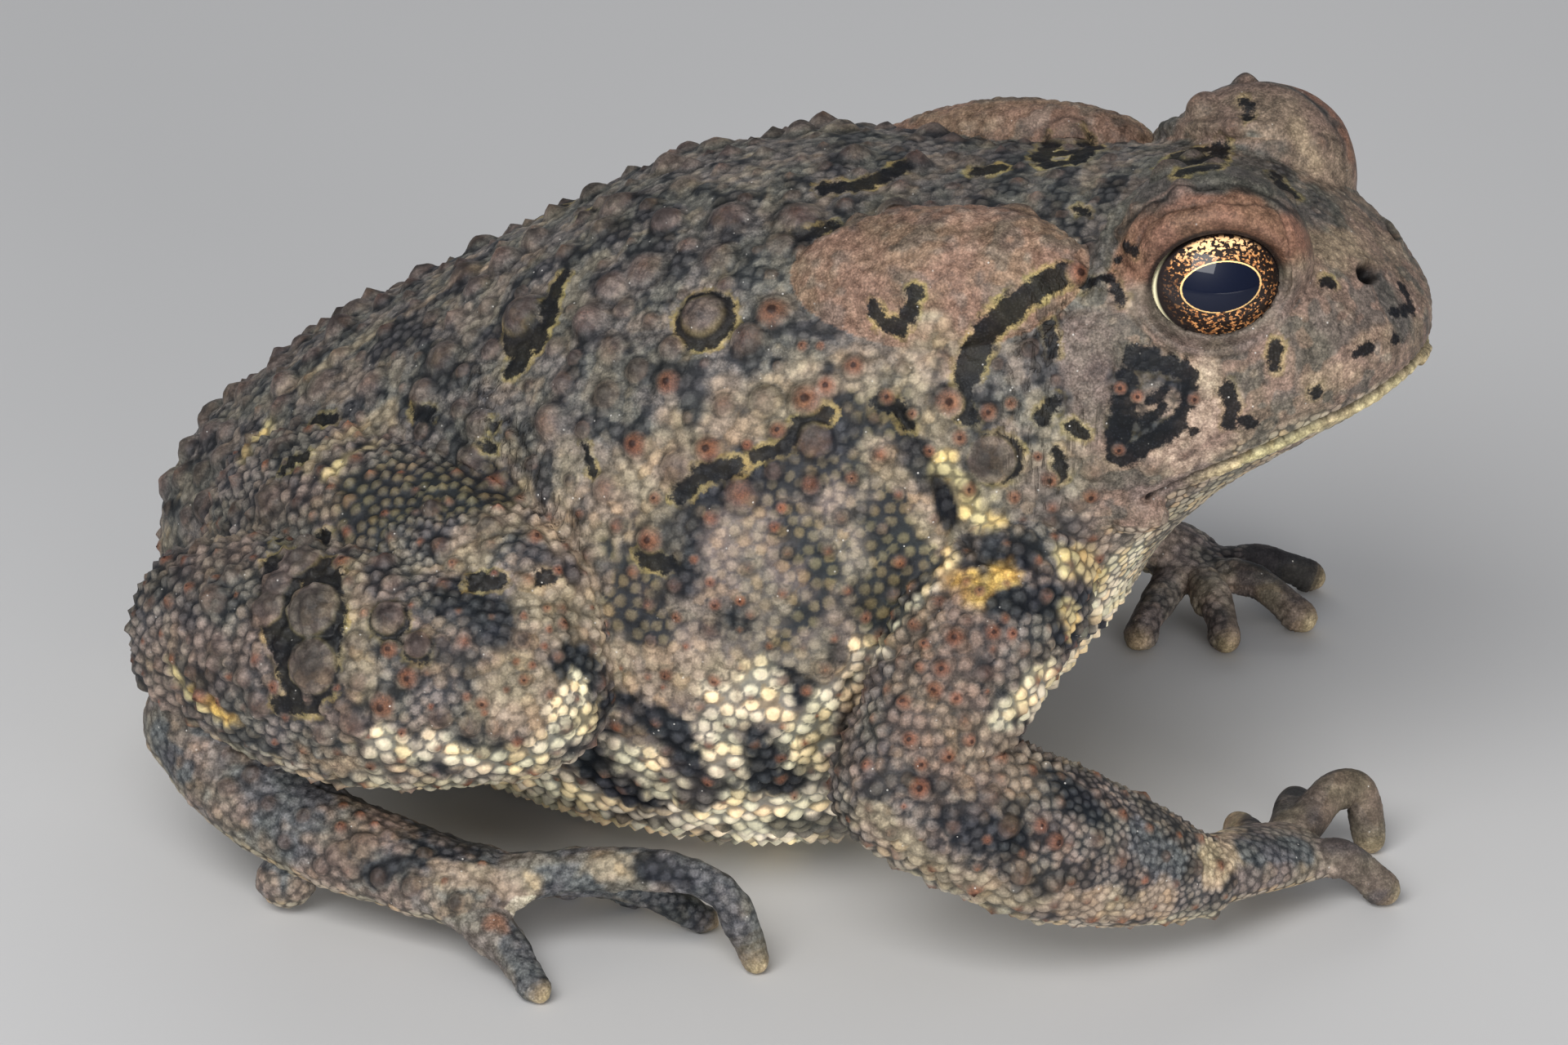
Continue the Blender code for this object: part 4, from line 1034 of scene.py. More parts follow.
# Where the skin is drawn into fine upright wrinkles: radius, pixels.
WRINKLES = [
    (2.2, [(1285, 370), (1262, 440), (1256, 540), (1275, 610)]),
    (1.6, [(1330, 500), (1320, 560)]),
    (2.0, [(590, 470), (640, 560), (700, 650)]),
]


def patch(points, line, radius, soft, wobble):
    """How far each point belongs to a patch round a line, with an uneven edge."""
    return ease(line_distance(points, line) + wobble * soft, radius + soft, max(radius - 0.3 * soft, 0.0))


def scatter(points, chosen, spacing, seed):
    """Points picked at random that keep the spacing of where they lie."""
    order = np.random.default_rng(seed).permutation(np.flatnonzero(chosen))
    cell = float(spacing[chosen].max())
    steps = (-1, 0, 1)
    around = [(i, j, k) for i in steps for j in steps for k in steps]
    grid = {}
    found = []
    for index in order:
        x, y, z = points[index]
        row, column, layer = int(x // cell), int(y // cell), int(z // cell)
        least = spacing[index] ** 2
        near = any(
            (a - x) ** 2 + (b - y) ** 2 + (c - z) ** 2 < least
            for i, j, k in around
            for a, b, c in grid.get((row + i, column + j, layer + k), ())
        )
        if not near:
            grid.setdefault((row, column, layer), []).append((x, y, z))
            found.append(index)
    return np.array(found)


def tree_of(points):
    tree = KDTree(len(points))
    for index, point in enumerate(points):
        tree.insert(point, index)
    tree.balance()
    return tree


WART_LOOKS = {"brown": 0.0, "pink": 0.35, "red": 1.0, "dark": -1.0}  # how ruddy, or below 0 how dark
BACK_SPACING = 2.2
FLANK_SPACING = 1.9
FACE_START = 21  # place along X; no wart is placed at random in front of it


class Hide:
    """The bare skin's points, what each belongs to, and the colours and relief that are gathered for them.

    level is a point's height from the belly, 0, to the back, 1. near_eye is how far it lies outside the
    lids' slit. coarse, middling and small are noise from -1 to 1, with features of 4, 1.6 and 0.7 mm.
    """

    def __init__(self, skin, flesh, eyes):
        self.sight = Sight(skin.tree())
        self.points = skin.points.copy()
        self.normals = skin.normals()
        self.count = len(self.points)
        self.facing_up = self.normals[:, 2]
        parts, self.shares = self.nearest(flesh)
        self.of = {name: parts == number for number, name in enumerate(PARTS)}
        self.body = self.on("trunk", "gland", "lid", "crest")
        self.limbs = self.on("upper_arm", "forearm", "thigh", "shank")
        self.digits = self.on("toe", "finger")
        self.feet = self.on("tarsus", "toe", "palm", "finger", "web")
        x, _, z = self.points.T
        table = np.array(TRUNK)
        top = np.interp(x, table[:, 0], table[:, 1])
        belly = np.interp(x, table[:, 0], table[:, 2])
        self.level = (z - belly) / (top - belly)
        self.head = ease(x, 22.0, 25.0)
        self.eyes = eyes
        self.near_eye = np.minimum(eyes[-1][0], eyes[1][0])
        self.coarse = cloud(self.points, 4.0, 1)
        self.middling = cloud(self.points, 1.6, 2)
        self.small = cloud(self.points, 0.7, 3)
        self.wobble = 0.7 * self.middling + 0.5 * self.small
        ground, tops, granular, full = TONES["back"]
        self.ground = np.tile(ground, (self.count, 1)).astype(float)
        self.tops = np.tile(tops, (self.count, 1)).astype(float)
        self.granular = np.full(self.count, granular)
        self.full = np.full(self.count, full)
        self.relief = np.zeros(self.count)
        # dark is painted shade: how far the colour goes to DEEP_SHADE in grooves, nostrils and round the
        # lids.
        self.dark = np.zeros(self.count)

    def nearest(self, flesh):
        """The part that each point lies on, and its place along that part."""
        plain = BVHTree.FromPolygons([tuple(point) for point in flesh.points], flesh.faces)
        faces = [plain.find_nearest(point)[2] for point in self.points]
        return np.array(flesh.parts)[faces], np.array(flesh.shares)[faces]

    def on(self, *names):
        return np.logical_or.reduce([self.of[name] for name in names])

    def paint(self, name, share):
        """Moves the colours towards a tone."""
        for layer, value in zip((self.ground, self.tops, self.granular, self.full), TONES[name]):
            layer += (np.array(value) - layer) * (share[:, None] if layer.ndim == 2 else share)

    # Painted shade: darkens the colour where shade falls.
    def paint_shade(self, share):
        self.dark = np.maximum(self.dark, share)


def colour_body(hide):
    """The trunk from its dark back to its pale belly, with pale patches, black spots and blots."""
    body, level, coarse, middling, small = hide.body, hide.level, hide.coarse, hide.middling, hide.small
    trunk = body * (1 - hide.head)
    uneven = level + 0.06 * coarse + 0.03 * middling
    hide.paint("flank", ease(uneven, 0.78, 0.6) * body)
    hide.paint("mauve", ease(uneven, 0.5, 0.36) * body)
    hide.paint("cream", ease(uneven, 0.32, 0.2) * body)
    hide.paint("belly", ease(uneven, 0.24, 0.1) * body)
    pale = ease(coarse + 0.5 * middling, -0.05, -0.35) * ease(level, 0.55, 0.4) * trunk
    hide.paint("cream", pale * 0.5 * ease(level, 0.5, 0.35))
    hide.paint("tan", pale * 0.45 * ease(level, 0.35, 0.45))
    spots = ease(coarse + 0.4 * middling, 0.25, 0.5)
    hide.paint("black", spots * ease(level, 0.6, 0.4) * ease(level, -0.1, 0.1) * trunk * 0.8)
    blots = ease(middling + 0.5 * small, 0.3, 0.55)
    hide.paint("black", blots * ease(level, 0.5, 0.65) * trunk * 0.8)
    hide.paint("tan", ease(-middling + 0.5 * small, 0.25, 0.6) * ease(level, 0.4, 0.6) * trunk * 0.4)
    return blots


def colour_head(hide):
    """A brown face and a grey crown, both mottled, with ruddy neck glands."""
    middling, small, facing_up = hide.middling, hide.small, hide.facing_up
    z = hide.points[:, 2]
    head = hide.head * hide.of["trunk"]
    gland, lid = hide.of["gland"], hide.of["lid"]
    hide.paint("face", head * ease(z, 46.0, 43.0))
    hide.paint("crown", head * ease(z + 0.5 * hide.wobble, 43.0, 45.0))
    hide.paint("throat", head * ease(facing_up, -0.25, -0.5))
    hide.paint("crown", head * ease(middling + 0.7 * small, 0.25, 0.5) * 0.75)
    hide.paint("cheek", head * ease(small - 0.5 * middling, 0.5, 0.8) * 0.35)
    hide.paint("black", head * ease(z, 43.5, 45.0) * ease(middling + 0.5 * small, 0.35, 0.6) * 0.6)
    hide.paint("gland", gland * 1.0)
    hide.paint("crown", gland * ease(middling + 0.8 * small, 0.25, 0.6) * 0.5)
    hide.paint("cheek", gland * ease(small - 0.5 * middling, 0.4, 0.8) * 0.25)
    hide.paint("crown", lid * ease(facing_up + 0.2 * middling, 0.3, 0.6))
    hide.paint("face", lid * ease(facing_up + 0.2 * middling, 0.6, 0.3))
    hide.paint("crown", hide.of["crest"] * 0.7)


def colour_limbs(hide, blots):
    """Brown and blotted limbs with paler undersides."""
    hide.paint("limb", hide.limbs * 1.0)
    hide.paint("brown", hide.on("upper_arm", "forearm") * ease(hide.middling, -0.3, 0.5) * 0.6)
    hide.paint("brown", hide.on("thigh", "shank") * ease(hide.coarse, 0.0, 0.6) * 0.6)
    hide.paint("black", hide.limbs * blots * 0.7)
    hide.paint("cream", hide.limbs * ease(hide.facing_up + 0.12 * hide.middling, -0.45, -0.8) * 0.55)


KNUCKLES = ((0.42, 0.07), (0.72, 0.06))  # place along a digit, and half width along it


def colour_feet(hide):
    """Banded slate feet with pale soles and finger tips, and knuckles under the digits."""
    coarse, middling, facing_up = hide.coarse, hide.middling, hide.facing_up
    feet, digits, shares = hide.feet, hide.digits, hide.shares
    hide.paint("slate", feet * 1.0)
    hide.paint("brown", hide.on("palm", "finger") * 0.5)
    bands = ease(coarse + 0.3 * middling, 0.15, 0.5)
    hide.paint("hand", feet * bands * (0.2 + 0.05 * digits))
    hide.paint("brown", hide.of["tarsus"] * ease(middling + 0.4 * hide.small, -0.1, 0.4) * 0.7)
    hide.paint("black", feet * ease(coarse + 0.4 * middling, -0.35, -0.6) * 0.6)
    hide.paint("throat", hide.on("tarsus", "palm") * ease(facing_up, -0.3, -0.6))
    hide.paint("tip", digits * ease(shares, 0.72, 0.95))
    knuckles = sum(ridge(shares - place, width) for place, width in KNUCKLES)
    hide.relief += digits * knuckles * (0.08 + 0.14 * ease(facing_up, 0.1, -0.5))


def colour_regions(hide, shift):
    """The named regions on both sides, and the webs."""
    for tone, radius, soft, pixels in REGIONS:
        for line in hide.sight.sides(pixels, shift):
            hide.paint(tone, patch(hide.points, line, radius, soft, hide.wobble))
    hide.paint("web", hide.of["web"] * 0.9)


LIP_REACH = (28.0, 31.0)  # the pale lip fades in between these places along X


def shape_mouth(hide, hand):
    """The mouth's groove, with a pale swollen lip under it and painted shade along the groove."""
    x, y, z = hide.points.T
    line = [Vector((a, side_at(a, c) * hand, c)) for a, c in rows_through(MOUTH, 3)]
    middle = [line[0], mirrored(line[0], -1)]
    away = np.minimum(line_distance(hide.points, line), line_distance(hide.points, middle))
    hide.relief -= 0.42 * ridge(away, 0.2)
    height = np.interp(x, [place.x for place in line][::-1], [place.z for place in line][::-1])
    lip = ease(away, 1.15, 0.75) * ease(z - height, 0.0, -0.2) * hide.of["trunk"] * ease(x, *LIP_REACH)
    lip = lip * (y * hand > -1)
    hide.relief += 0.28 * lip
    hide.paint("lip", lip)
    # Painted shade along the mouth's groove.
    hide.paint_shade(ridge(away, 0.13))


def colour_lids(hide, hand):
    """A ruddy upper lid, a grey fold under the eye, and painted shade along the rims and in the creases."""
    off, height = hide.eyes[hand]
    hide.paint("rust", ease(off + 0.25 * hide.wobble, 2.7, 2.2) * ease(height, 0.0, 0.25))
    hide.paint("tan", ease(off, 0.8, 0.4) * 0.7 * ease(height, 0.2, 0.0))
    hide.paint("grey", ease(off, 1.4, 1.1) * ease(height, 0.0, -0.3) * 0.7)
    # Painted shade under the upper lid's rim, in the crease above the lid and along the slit's edge.
    hide.paint_shade(0.92 * ease(off, 0.5, 0.15) * ease(height, -0.5, 0.25))
    hide.paint_shade(0.4 * ease(off, 1.2, 0.5) * ease(height, 0.2, 0.6))
    hide.paint_shade(0.7 * ridge(off + 0.12 * hide.small - 2.7, 0.14) * ease(height, 0.2, 0.5))
    hide.paint_shade(0.5 * ease(off, 0.14, 0.03))


def shape_nostril(hide, hand):
    """A bored hole with a low rim and painted shade inside. The left one is set a little in and down, where
    the snout rounds off.
    """
    hole = hide.sight.at(*NOSTRIL_PIXEL)
    if hand > 0:
        hole = hole + LEFT_NOSTRIL_SHIFT
    bore = [mirrored(hole + hide.sight.back * reach, -hand) for reach in (-NOSTRIL_DEPTH, NOSTRIL_DEPTH)]
    away = line_distance(hide.points, bore)
    hide.relief -= 0.9 * ease(away, NOSTRIL_RADIUS * 1.3, NOSTRIL_RADIUS * 0.3)
    hide.relief += 0.15 * ridge(away - 0.8, 0.25)
    # Painted shade inside the hole.
    hide.paint_shade(ease(away, NOSTRIL_RADIUS * 1.35, NOSTRIL_RADIUS * 0.7))


def shape_drum(hide, hand):
    """The ear drum's raised ring round a shallow dish."""
    x, z = DRUM_PLACE
    away = line_distance(hide.points, [Vector((x, side_at(x, z) * hand, z))])
    hide.relief += 0.1 * ridge(away - DRUM_RADIUS, 0.25) - 0.12 * ease(away, DRUM_RADIUS, 0.0)


def shape_folds(hide):
    """The named folds and grooves on both sides, with painted shade along each groove."""
    for height, width, pixels in FOLDS:
        for side in hide.sight.sides(pixels):
            away = line_distance(hide.points, side)
            hide.relief += height * ridge(away + 0.08 * hide.small, width)
            # Painted shade along each groove.
            if height < 0:
                hide.paint_shade(0.55 * min(1, -height * 3) * ridge(away, 0.7 * width))


def wrinkled_share(hide):
    """How far each point lies in a wrinkled place."""
    wrinkled = np.zeros(hide.count)
    for radius, pixels in WRINKLES:
        for side in hide.sight.sides(pixels):
            wrinkled = np.maximum(wrinkled, ease(line_distance(hide.points, side), radius, 0.4 * radius))
    return wrinkled


NO_MARK = 9.0  # the distance to a mark where there is none near, in mm


def draw_marks(hide, shift):
    """How far each point is outside the nearest black mark, and how yellow that mark's edge is."""
    mark = np.full(hide.count, NO_MARK)
    rim = np.zeros(hide.count)
    for radius, yellow, pixels in MARKS:
        for side in hide.sight.sides(pixels, shift):
            away = line_distance(hide.points, side) - radius
            nearer = away < mark
            rim[nearer] = yellow
            mark = np.where(nearer, away, mark)
    return mark, rim


Wart = namedtuple("Wart", "centre radius height look")


def place_warts(hide, mark, shift, chance):
    """The named warts on both sides, then others at random where there is room."""
    warts = []
    for u, v, radius, height, look in WARTS:
        for centre, *_ in hide.sight.sides([(u, v)], shift):
            warts.append(Wart(centre, radius / PIXELS_PER_MM, height, WART_LOOKS[look]))

    def room_for(centre, radius):
        return all((centre - wart.centre).length > wart.radius + radius for wart in warts)

    body, level, x = hide.body, hide.level, hide.points[:, 0]
    upper = body & (level + 0.1 * hide.coarse > 0.42) & (x < FACE_START) & ~hide.of["gland"] & (mark > 0.6)
    for index in scatter(hide.points, upper, np.full(hide.count, BACK_SPACING), 5):
        on_back = x[index] < 10 and level[index] > 0.68
        radius = 0.35 + (0.85 if on_back else 0.25) * chance.random() ** 1.5
        centre = Vector(hide.points[index])
        if room_for(centre, radius):
            if level[index] < 0.75 and chance.random() < 0.6:
                look = chance.uniform(0.4, 1.0)
            else:
                look = chance.choice([WART_LOOKS["brown"], WART_LOOKS["pink"], WART_LOOKS["dark"]])
            warts.append(Wart(centre, radius, radius * chance.uniform(0.45, 0.7), look))
    lower = (body & (level < 0.5) & (level > 0.2) & (hide.head < 0.5)) | hide.limbs
    for index in scatter(hide.points, lower, np.full(hide.count, FLANK_SPACING), 6):
        radius = chance.uniform(0.25, 0.6)
        centre = Vector(hide.points[index])
        if room_for(centre, radius):
            warts.append(Wart(centre, radius, radius * 0.45, chance.uniform(0.3, 0.95)))
    return warts


def raise_warts(hide, warts):
    """Each wart's dome and spine, with how brown, how ruddy and how near a wart's foot each point is; the
    foot gets painted shade.
    """
    limbs = hide.limbs
    tree = tree_of(hide.points)
    domes, ruddy, shade, foot = np.zeros((4, hide.count))
    for centre, radius, height, look in warts:
        large = radius > 0.9
        bluntness = 0.85 if large else 1.15
        spine = (0.15 if large or centre.x > 20 else 0.25) * height
        for _, index, away in tree.find_range(centre, radius * 1.6):
            share = max(0.0, 1 - (away / (radius * 1.2)) ** 2) ** bluntness
            sharp = spine * (2.0 if limbs[index] else 1.0)
            lift = 1.25 * height * share + sharp * max(0.0, 1 - away / (0.4 * radius))
            # Near the foot the colour gets painted shade.
            foot[index] = max(foot[index], 1 - abs(away / radius - 1.2) / 0.35)
            if lift > domes[index]:
                domes[index] = lift
                if look > 0.3:
                    ruddy[index] = max(ruddy[index], look * max(0.0, 1 - away / (radius * 1.2)))
                inner = max(0.0, 1 - (away / (radius * 1.15)) ** 2)
                shade[index] = inner * (1.0 if look >= 0 else 2.0)
    hide.relief += domes
    foot *= ease(domes, 0.3, 0.1) * (1 - 0.8 * ease(hide.points[:, 0], 18.0, 21.0))
    return domes, ruddy, shade, foot


def raise_granules(hide, domes, chance):
    """Close-packed domes with thin grooves between, each granule's own share of brightness and tinge, and
    painted shading lighter in its middle than at its grooves.
    """
    body, limbs, feet, head, level = hide.body, hide.limbs, hide.feet, hide.head, hide.level
    low = ease(level + 0.05 * hide.coarse, 0.4, 0.24) * body * (1 - head)
    beneath = ease(hide.facing_up, 0.0, -0.4)
    # Across: largest on the belly and under the limbs, small on the head and the feet.
    size = 0.72 + 0.08 * ease(level, 0.6, 0.5) * body + 0.18 * low + 0.2 * limbs * beneath
    size *= 1 - 0.3 * head
    size = np.where(feet, 0.6, size) * (1 + 0.15 * hide.coarse)
    # Height: tallest on the belly and the limbs, nearly none on the digits, lids and round the eye.
    lift = 0.11 + 0.05 * ease(level, 0.6, 0.4) * body + 0.18 * low
    lift = np.where(limbs, 0.2 + 0.1 * beneath, lift)
    lift = np.where(feet, 0.08, lift)
    lift = np.where(hide.digits, 0.03, lift)
    lift *= (1 - 0.6 * head) * (1 - 0.7 * hide.of["lid"]) * ease(hide.near_eye, 0.9, 2.2)
    seeds = scatter(hide.points, lift > 0.02, size, 7)
    tree = tree_of(hide.points[seeds])
    tips = chance.uniform(0.65, 1.25, len(seeds))
    away, beyond = np.empty((2, hide.count))
    which = np.empty(hide.count, int)
    for index, point in enumerate(hide.points):
        near, second = tree.find_n(point, 2)
        which[index], away[index] = near[1:]
        beyond[index] = second[2]
    # Each point's granule, the groove that parts it from the next, and its dome and tip.
    tip = tips[which]
    tinge = chance.uniform(-1, 1, len(seeds))[which]
    groove = (beyond - away) / size
    dome = np.clip(1 - (away / (0.68 * size)) ** 2, 0, 1) * ease(groove, -0.2, 0.35)
    point_up = np.clip(1 - away / (0.5 * size), 0, 1)
    calm = np.clip(1 - domes / 0.35, 0.6, 1)
    spiny = 0.8 * limbs * ease(hide.facing_up + 0.3 * hide.coarse, -0.5, 0.1)
    spiny = spiny + 0.35 * low * ease(level, 0.25, 0.1)
    hide.relief += lift * tip * calm * (dome + spiny * tip * point_up)
    # Painted shading: lighter in each granule's middle, darker towards its grooves.
    grain_and_shading = ease(groove, -0.08, 0.4) * np.clip(1.2 - (away / (0.66 * size)) ** 2, 0, 1)
    grain_and_shading = 0.45 + (grain_and_shading * (0.85 + 0.3 * tip) + hide.full - 0.55) * hide.granular
    return grain_and_shading, tinge * hide.granular


def bare_skin(flesh):
    """One smooth surface round the forms with its lids opened, and each point's place beside their slits."""
    skin = Skin(one_surface(flesh))
    skin.smooth(7)
    crest = [Vector(row[:3]) for row in rows_through(CREST, 4)]
    left, right = (line_distance(skin.points, [mirrored(p, hand) for p in crest]) for hand in (-1, 1))
    skin.smooth(40, ease(np.minimum(left, right), 2.6, 1.2))
    skin.refine(np.flatnonzero(skin.face_centres()[:, 0] > HEAD_START))
    return skin, {hand: open_eye(skin, hand) for hand in (-1, 1)}


def make_skin():
    """The toad's whole skin, with what its look reads stored at each point."""
    flesh = build_flesh()
    skin, eyes = bare_skin(flesh)
    hide = Hide(skin, flesh, eyes)
    draw = random.Random(SEED)
    chance = np.random.default_rng(SEED)
    shift = Vector((draw.uniform(-1, 1), 0, draw.uniform(-1, 1)))

    blots = colour_body(hide)
    colour_head(hide)
    colour_limbs(hide, blots)
    colour_feet(hide)
    colour_regions(hide, shift)
    for hand in (-1, 1):
        shape_mouth(hide, hand)
        colour_lids(hide, hand)
        shape_nostril(hide, hand)
        shape_drum(hide, hand)
    shape_folds(hide)
    mark, rim = draw_marks(hide, shift)
    warts = place_warts(hide, mark, shift, chance)
    domes, ruddy, shade, foot = raise_warts(hide, warts)
    grain_and_shading, tinge = raise_granules(hide, domes, chance)
    uneven = 0.07 * hide.small + 0.1 * hide.middling + 0.08 * hide.coarse
    hide.relief += uneven * (1 - 0.6 * hide.head)
    # The slit's edge stays clean, and the relief grows outwards from it.
    hide.relief *= ease(hide.near_eye, 0.05, 0.6) * 0.85 + 0.15 * (hide.near_eye > 0.05)

    skin.points = hide.points + hide.normals * hide.relief[:, None]
    skin.points[:, 2] = np.maximum(skin.points[:, 2], 0.0)
    skin.write()
    skin.data.shade_smooth()
    stored = {
        "ground": hide.ground,
        "tops": hide.tops,
        "grain_and_shading": grain_and_shading,
        "tinge": tinge,
        "mark": mark,
        "wrinkled": wrinkled_share(hide),
        "granular": hide.granular,
        "rim": rim,
        "shade": shade,
        "ruddy": ruddy,
        "dark": hide.dark,
        "foot": foot,
    }
    for name, values in stored.items():
        skin.store(name, values)
    print("skin points", hide.count, "warts", len(warts), "missed", hide.sight.missed)
    return skin.data


class Value:
    """A shader socket that plain arithmetic adds Math nodes to."""

    def __init__(self, look, socket):
        self.look = look
        self.socket = socket

    def math(self, operation, first, second):
        node = self.look.node("ShaderNodeMath", {"operation": operation})
        self.look.feed(node.inputs[0], first)
        self.look.feed(node.inputs[1], second)
        return Value(self.look, node.outputs[0])

    def __add__(self, other):
        return self.math("ADD", self, other)

    def __sub__(self, other):
        return self.math("SUBTRACT", self, other)

    def __rsub__(self, other):
        return self.math("SUBTRACT", other, self)

    def __mul__(self, other):
        return self.math("MULTIPLY", self, other)

    def __truediv__(self, other):
        return self.math("DIVIDE", self, other)

    def __rtruediv__(self, other):
        return self.math("DIVIDE", other, self)

    def __pow__(self, other):
        return self.math("POWER", self, other)

    __radd__ = __add__
    __rmul__ = __mul__


class Look:
    """A material on one Principled shader, with short ways to add nodes."""

    def __init__(self, name):
        self.material = bpy.data.materials.new(name)
        self.material.use_nodes = True
        self.tree = self.material.node_tree
        self.shader = self.tree.nodes["Principled BSDF"]
        self.place = self.node("ShaderNodeTexCoord").outputs["Object"]

    def feed(self, target, value):
        """Links a socket or sets a number or colour."""
        if isinstance(value, Value):
            self.tree.links.new(value.socket, target)
        elif isinstance(value, bpy.types.NodeSocket):
            self.tree.links.new(value, target)
        elif isinstance(value, tuple) and len(value) == 3 and target.type == "RGBA":
            target.default_value = (*value, 1.0)
        else:
            target.default_value = value

    def node(self, kind, settings=(), **values):
        """A node of this kind, with its settings and then its sockets' values or links."""
        node = self.tree.nodes.new(kind)
        for name, value in dict(settings).items():
            setattr(node, name, value)
        for name, value in values.items():
            self.feed(node.inputs[name.replace("_", " ")], value)
        return node

    def value(self, name):
        """A number stored at the points."""
        return Value(self, self.node("ShaderNodeAttribute", {"attribute_name": name}).outputs["Fac"])

    def colour(self, name):
        return self.node("ShaderNodeAttribute", {"attribute_name": name}).outputs["Color"]

    def noise(self, size, detail=2.0, stretch=None):
        place = self.place
        if stretch:
            place = self.node("ShaderNodeMapping", Vector=place, Scale=stretch).outputs["Vector"]
        node = self.node("ShaderNodeTexNoise", Vector=place, Scale=1 / (size * MM), Detail=detail)
        return Value(self, node.outputs["Fac"])

    def cells(self, size):
        """The distance to the nearest of some scattered spots."""
        node = self.node("ShaderNodeTexVoronoi", Vector=self.place, Scale=1 / (size * MM))
        return Value(self, node.outputs["Distance"])

    def rise(self, value, low, high):
        """0 at low, 1 at high, and a smooth step between."""
        node = self.node("ShaderNodeMapRange", {"interpolation_type": "SMOOTHSTEP"})
        for name, number in (("Value", value), ("From Min", low), ("From Max", high)):
            self.feed(node.inputs[name], number)
        return Value(self, node.outputs["Result"])

    def mix(self, share, first, second, blend="MIX"):
        node = self.node("ShaderNodeMix", {"data_type": "RGBA", "blend_type": blend})
        self.feed(node.inputs[0], share)
        self.feed(node.inputs[6], first)
        self.feed(node.inputs[7], second)
        return node.outputs[2]

    def grey(self, value):
        node = self.node("ShaderNodeCombineColor", Red=value, Green=value, Blue=value)
        return node.outputs["Color"]

    def bump(self, height, distance):
        node = self.node("ShaderNodeBump", Height=height, Distance=distance * MM, Strength=1.0)
        self.feed(self.shader.inputs["Normal"], node.outputs["Normal"])

    def finish(self, **values):
        for name, value in values.items():
            self.feed(self.shader.inputs[name.replace("_", " ")], value)
        return self.material


# Colours of the skin that don't come from its regions. A pair is mixed by noise.
WART_BROWNS = ((0.045, 0.035, 0.032), (0.17, 0.122, 0.102))
MARK_EDGE = (0.34, 0.27, 0.11)
MARK_INKS = ((0.004, 0.0052, 0.008), (0.014, 0.017, 0.024))
# Painted shade round the warts' feet.
WART_FOOT_SHADE = (0.012, 0.012, 0.014)
WART_REDS = ((0.1, 0.032, 0.018), (0.28, 0.115, 0.062))
WART_TIP = (0.02, 0.009, 0.008)
DARK_WART = (0.034, 0.028, 0.027)
WARM_GRANULE = (1.14, 1.01, 0.84)  # these two multiply the colour under them
COOL_GRANULE = (0.86, 0.88, 0.92)
# Painted shade in the wrinkles' grooves.
WRINKLE_SHADE = (0.035, 0.03, 0.025)
DEEP_SHADE = (0.007, 0.006, 0.006)
BLUSHES = ((1.03, 0.98, 0.97), (0.97, 1.0, 0.92))
# Pale specks: dust, and painted glints on the spines.
DUST_AND_GLINT = (0.6, 0.58, 0.54)


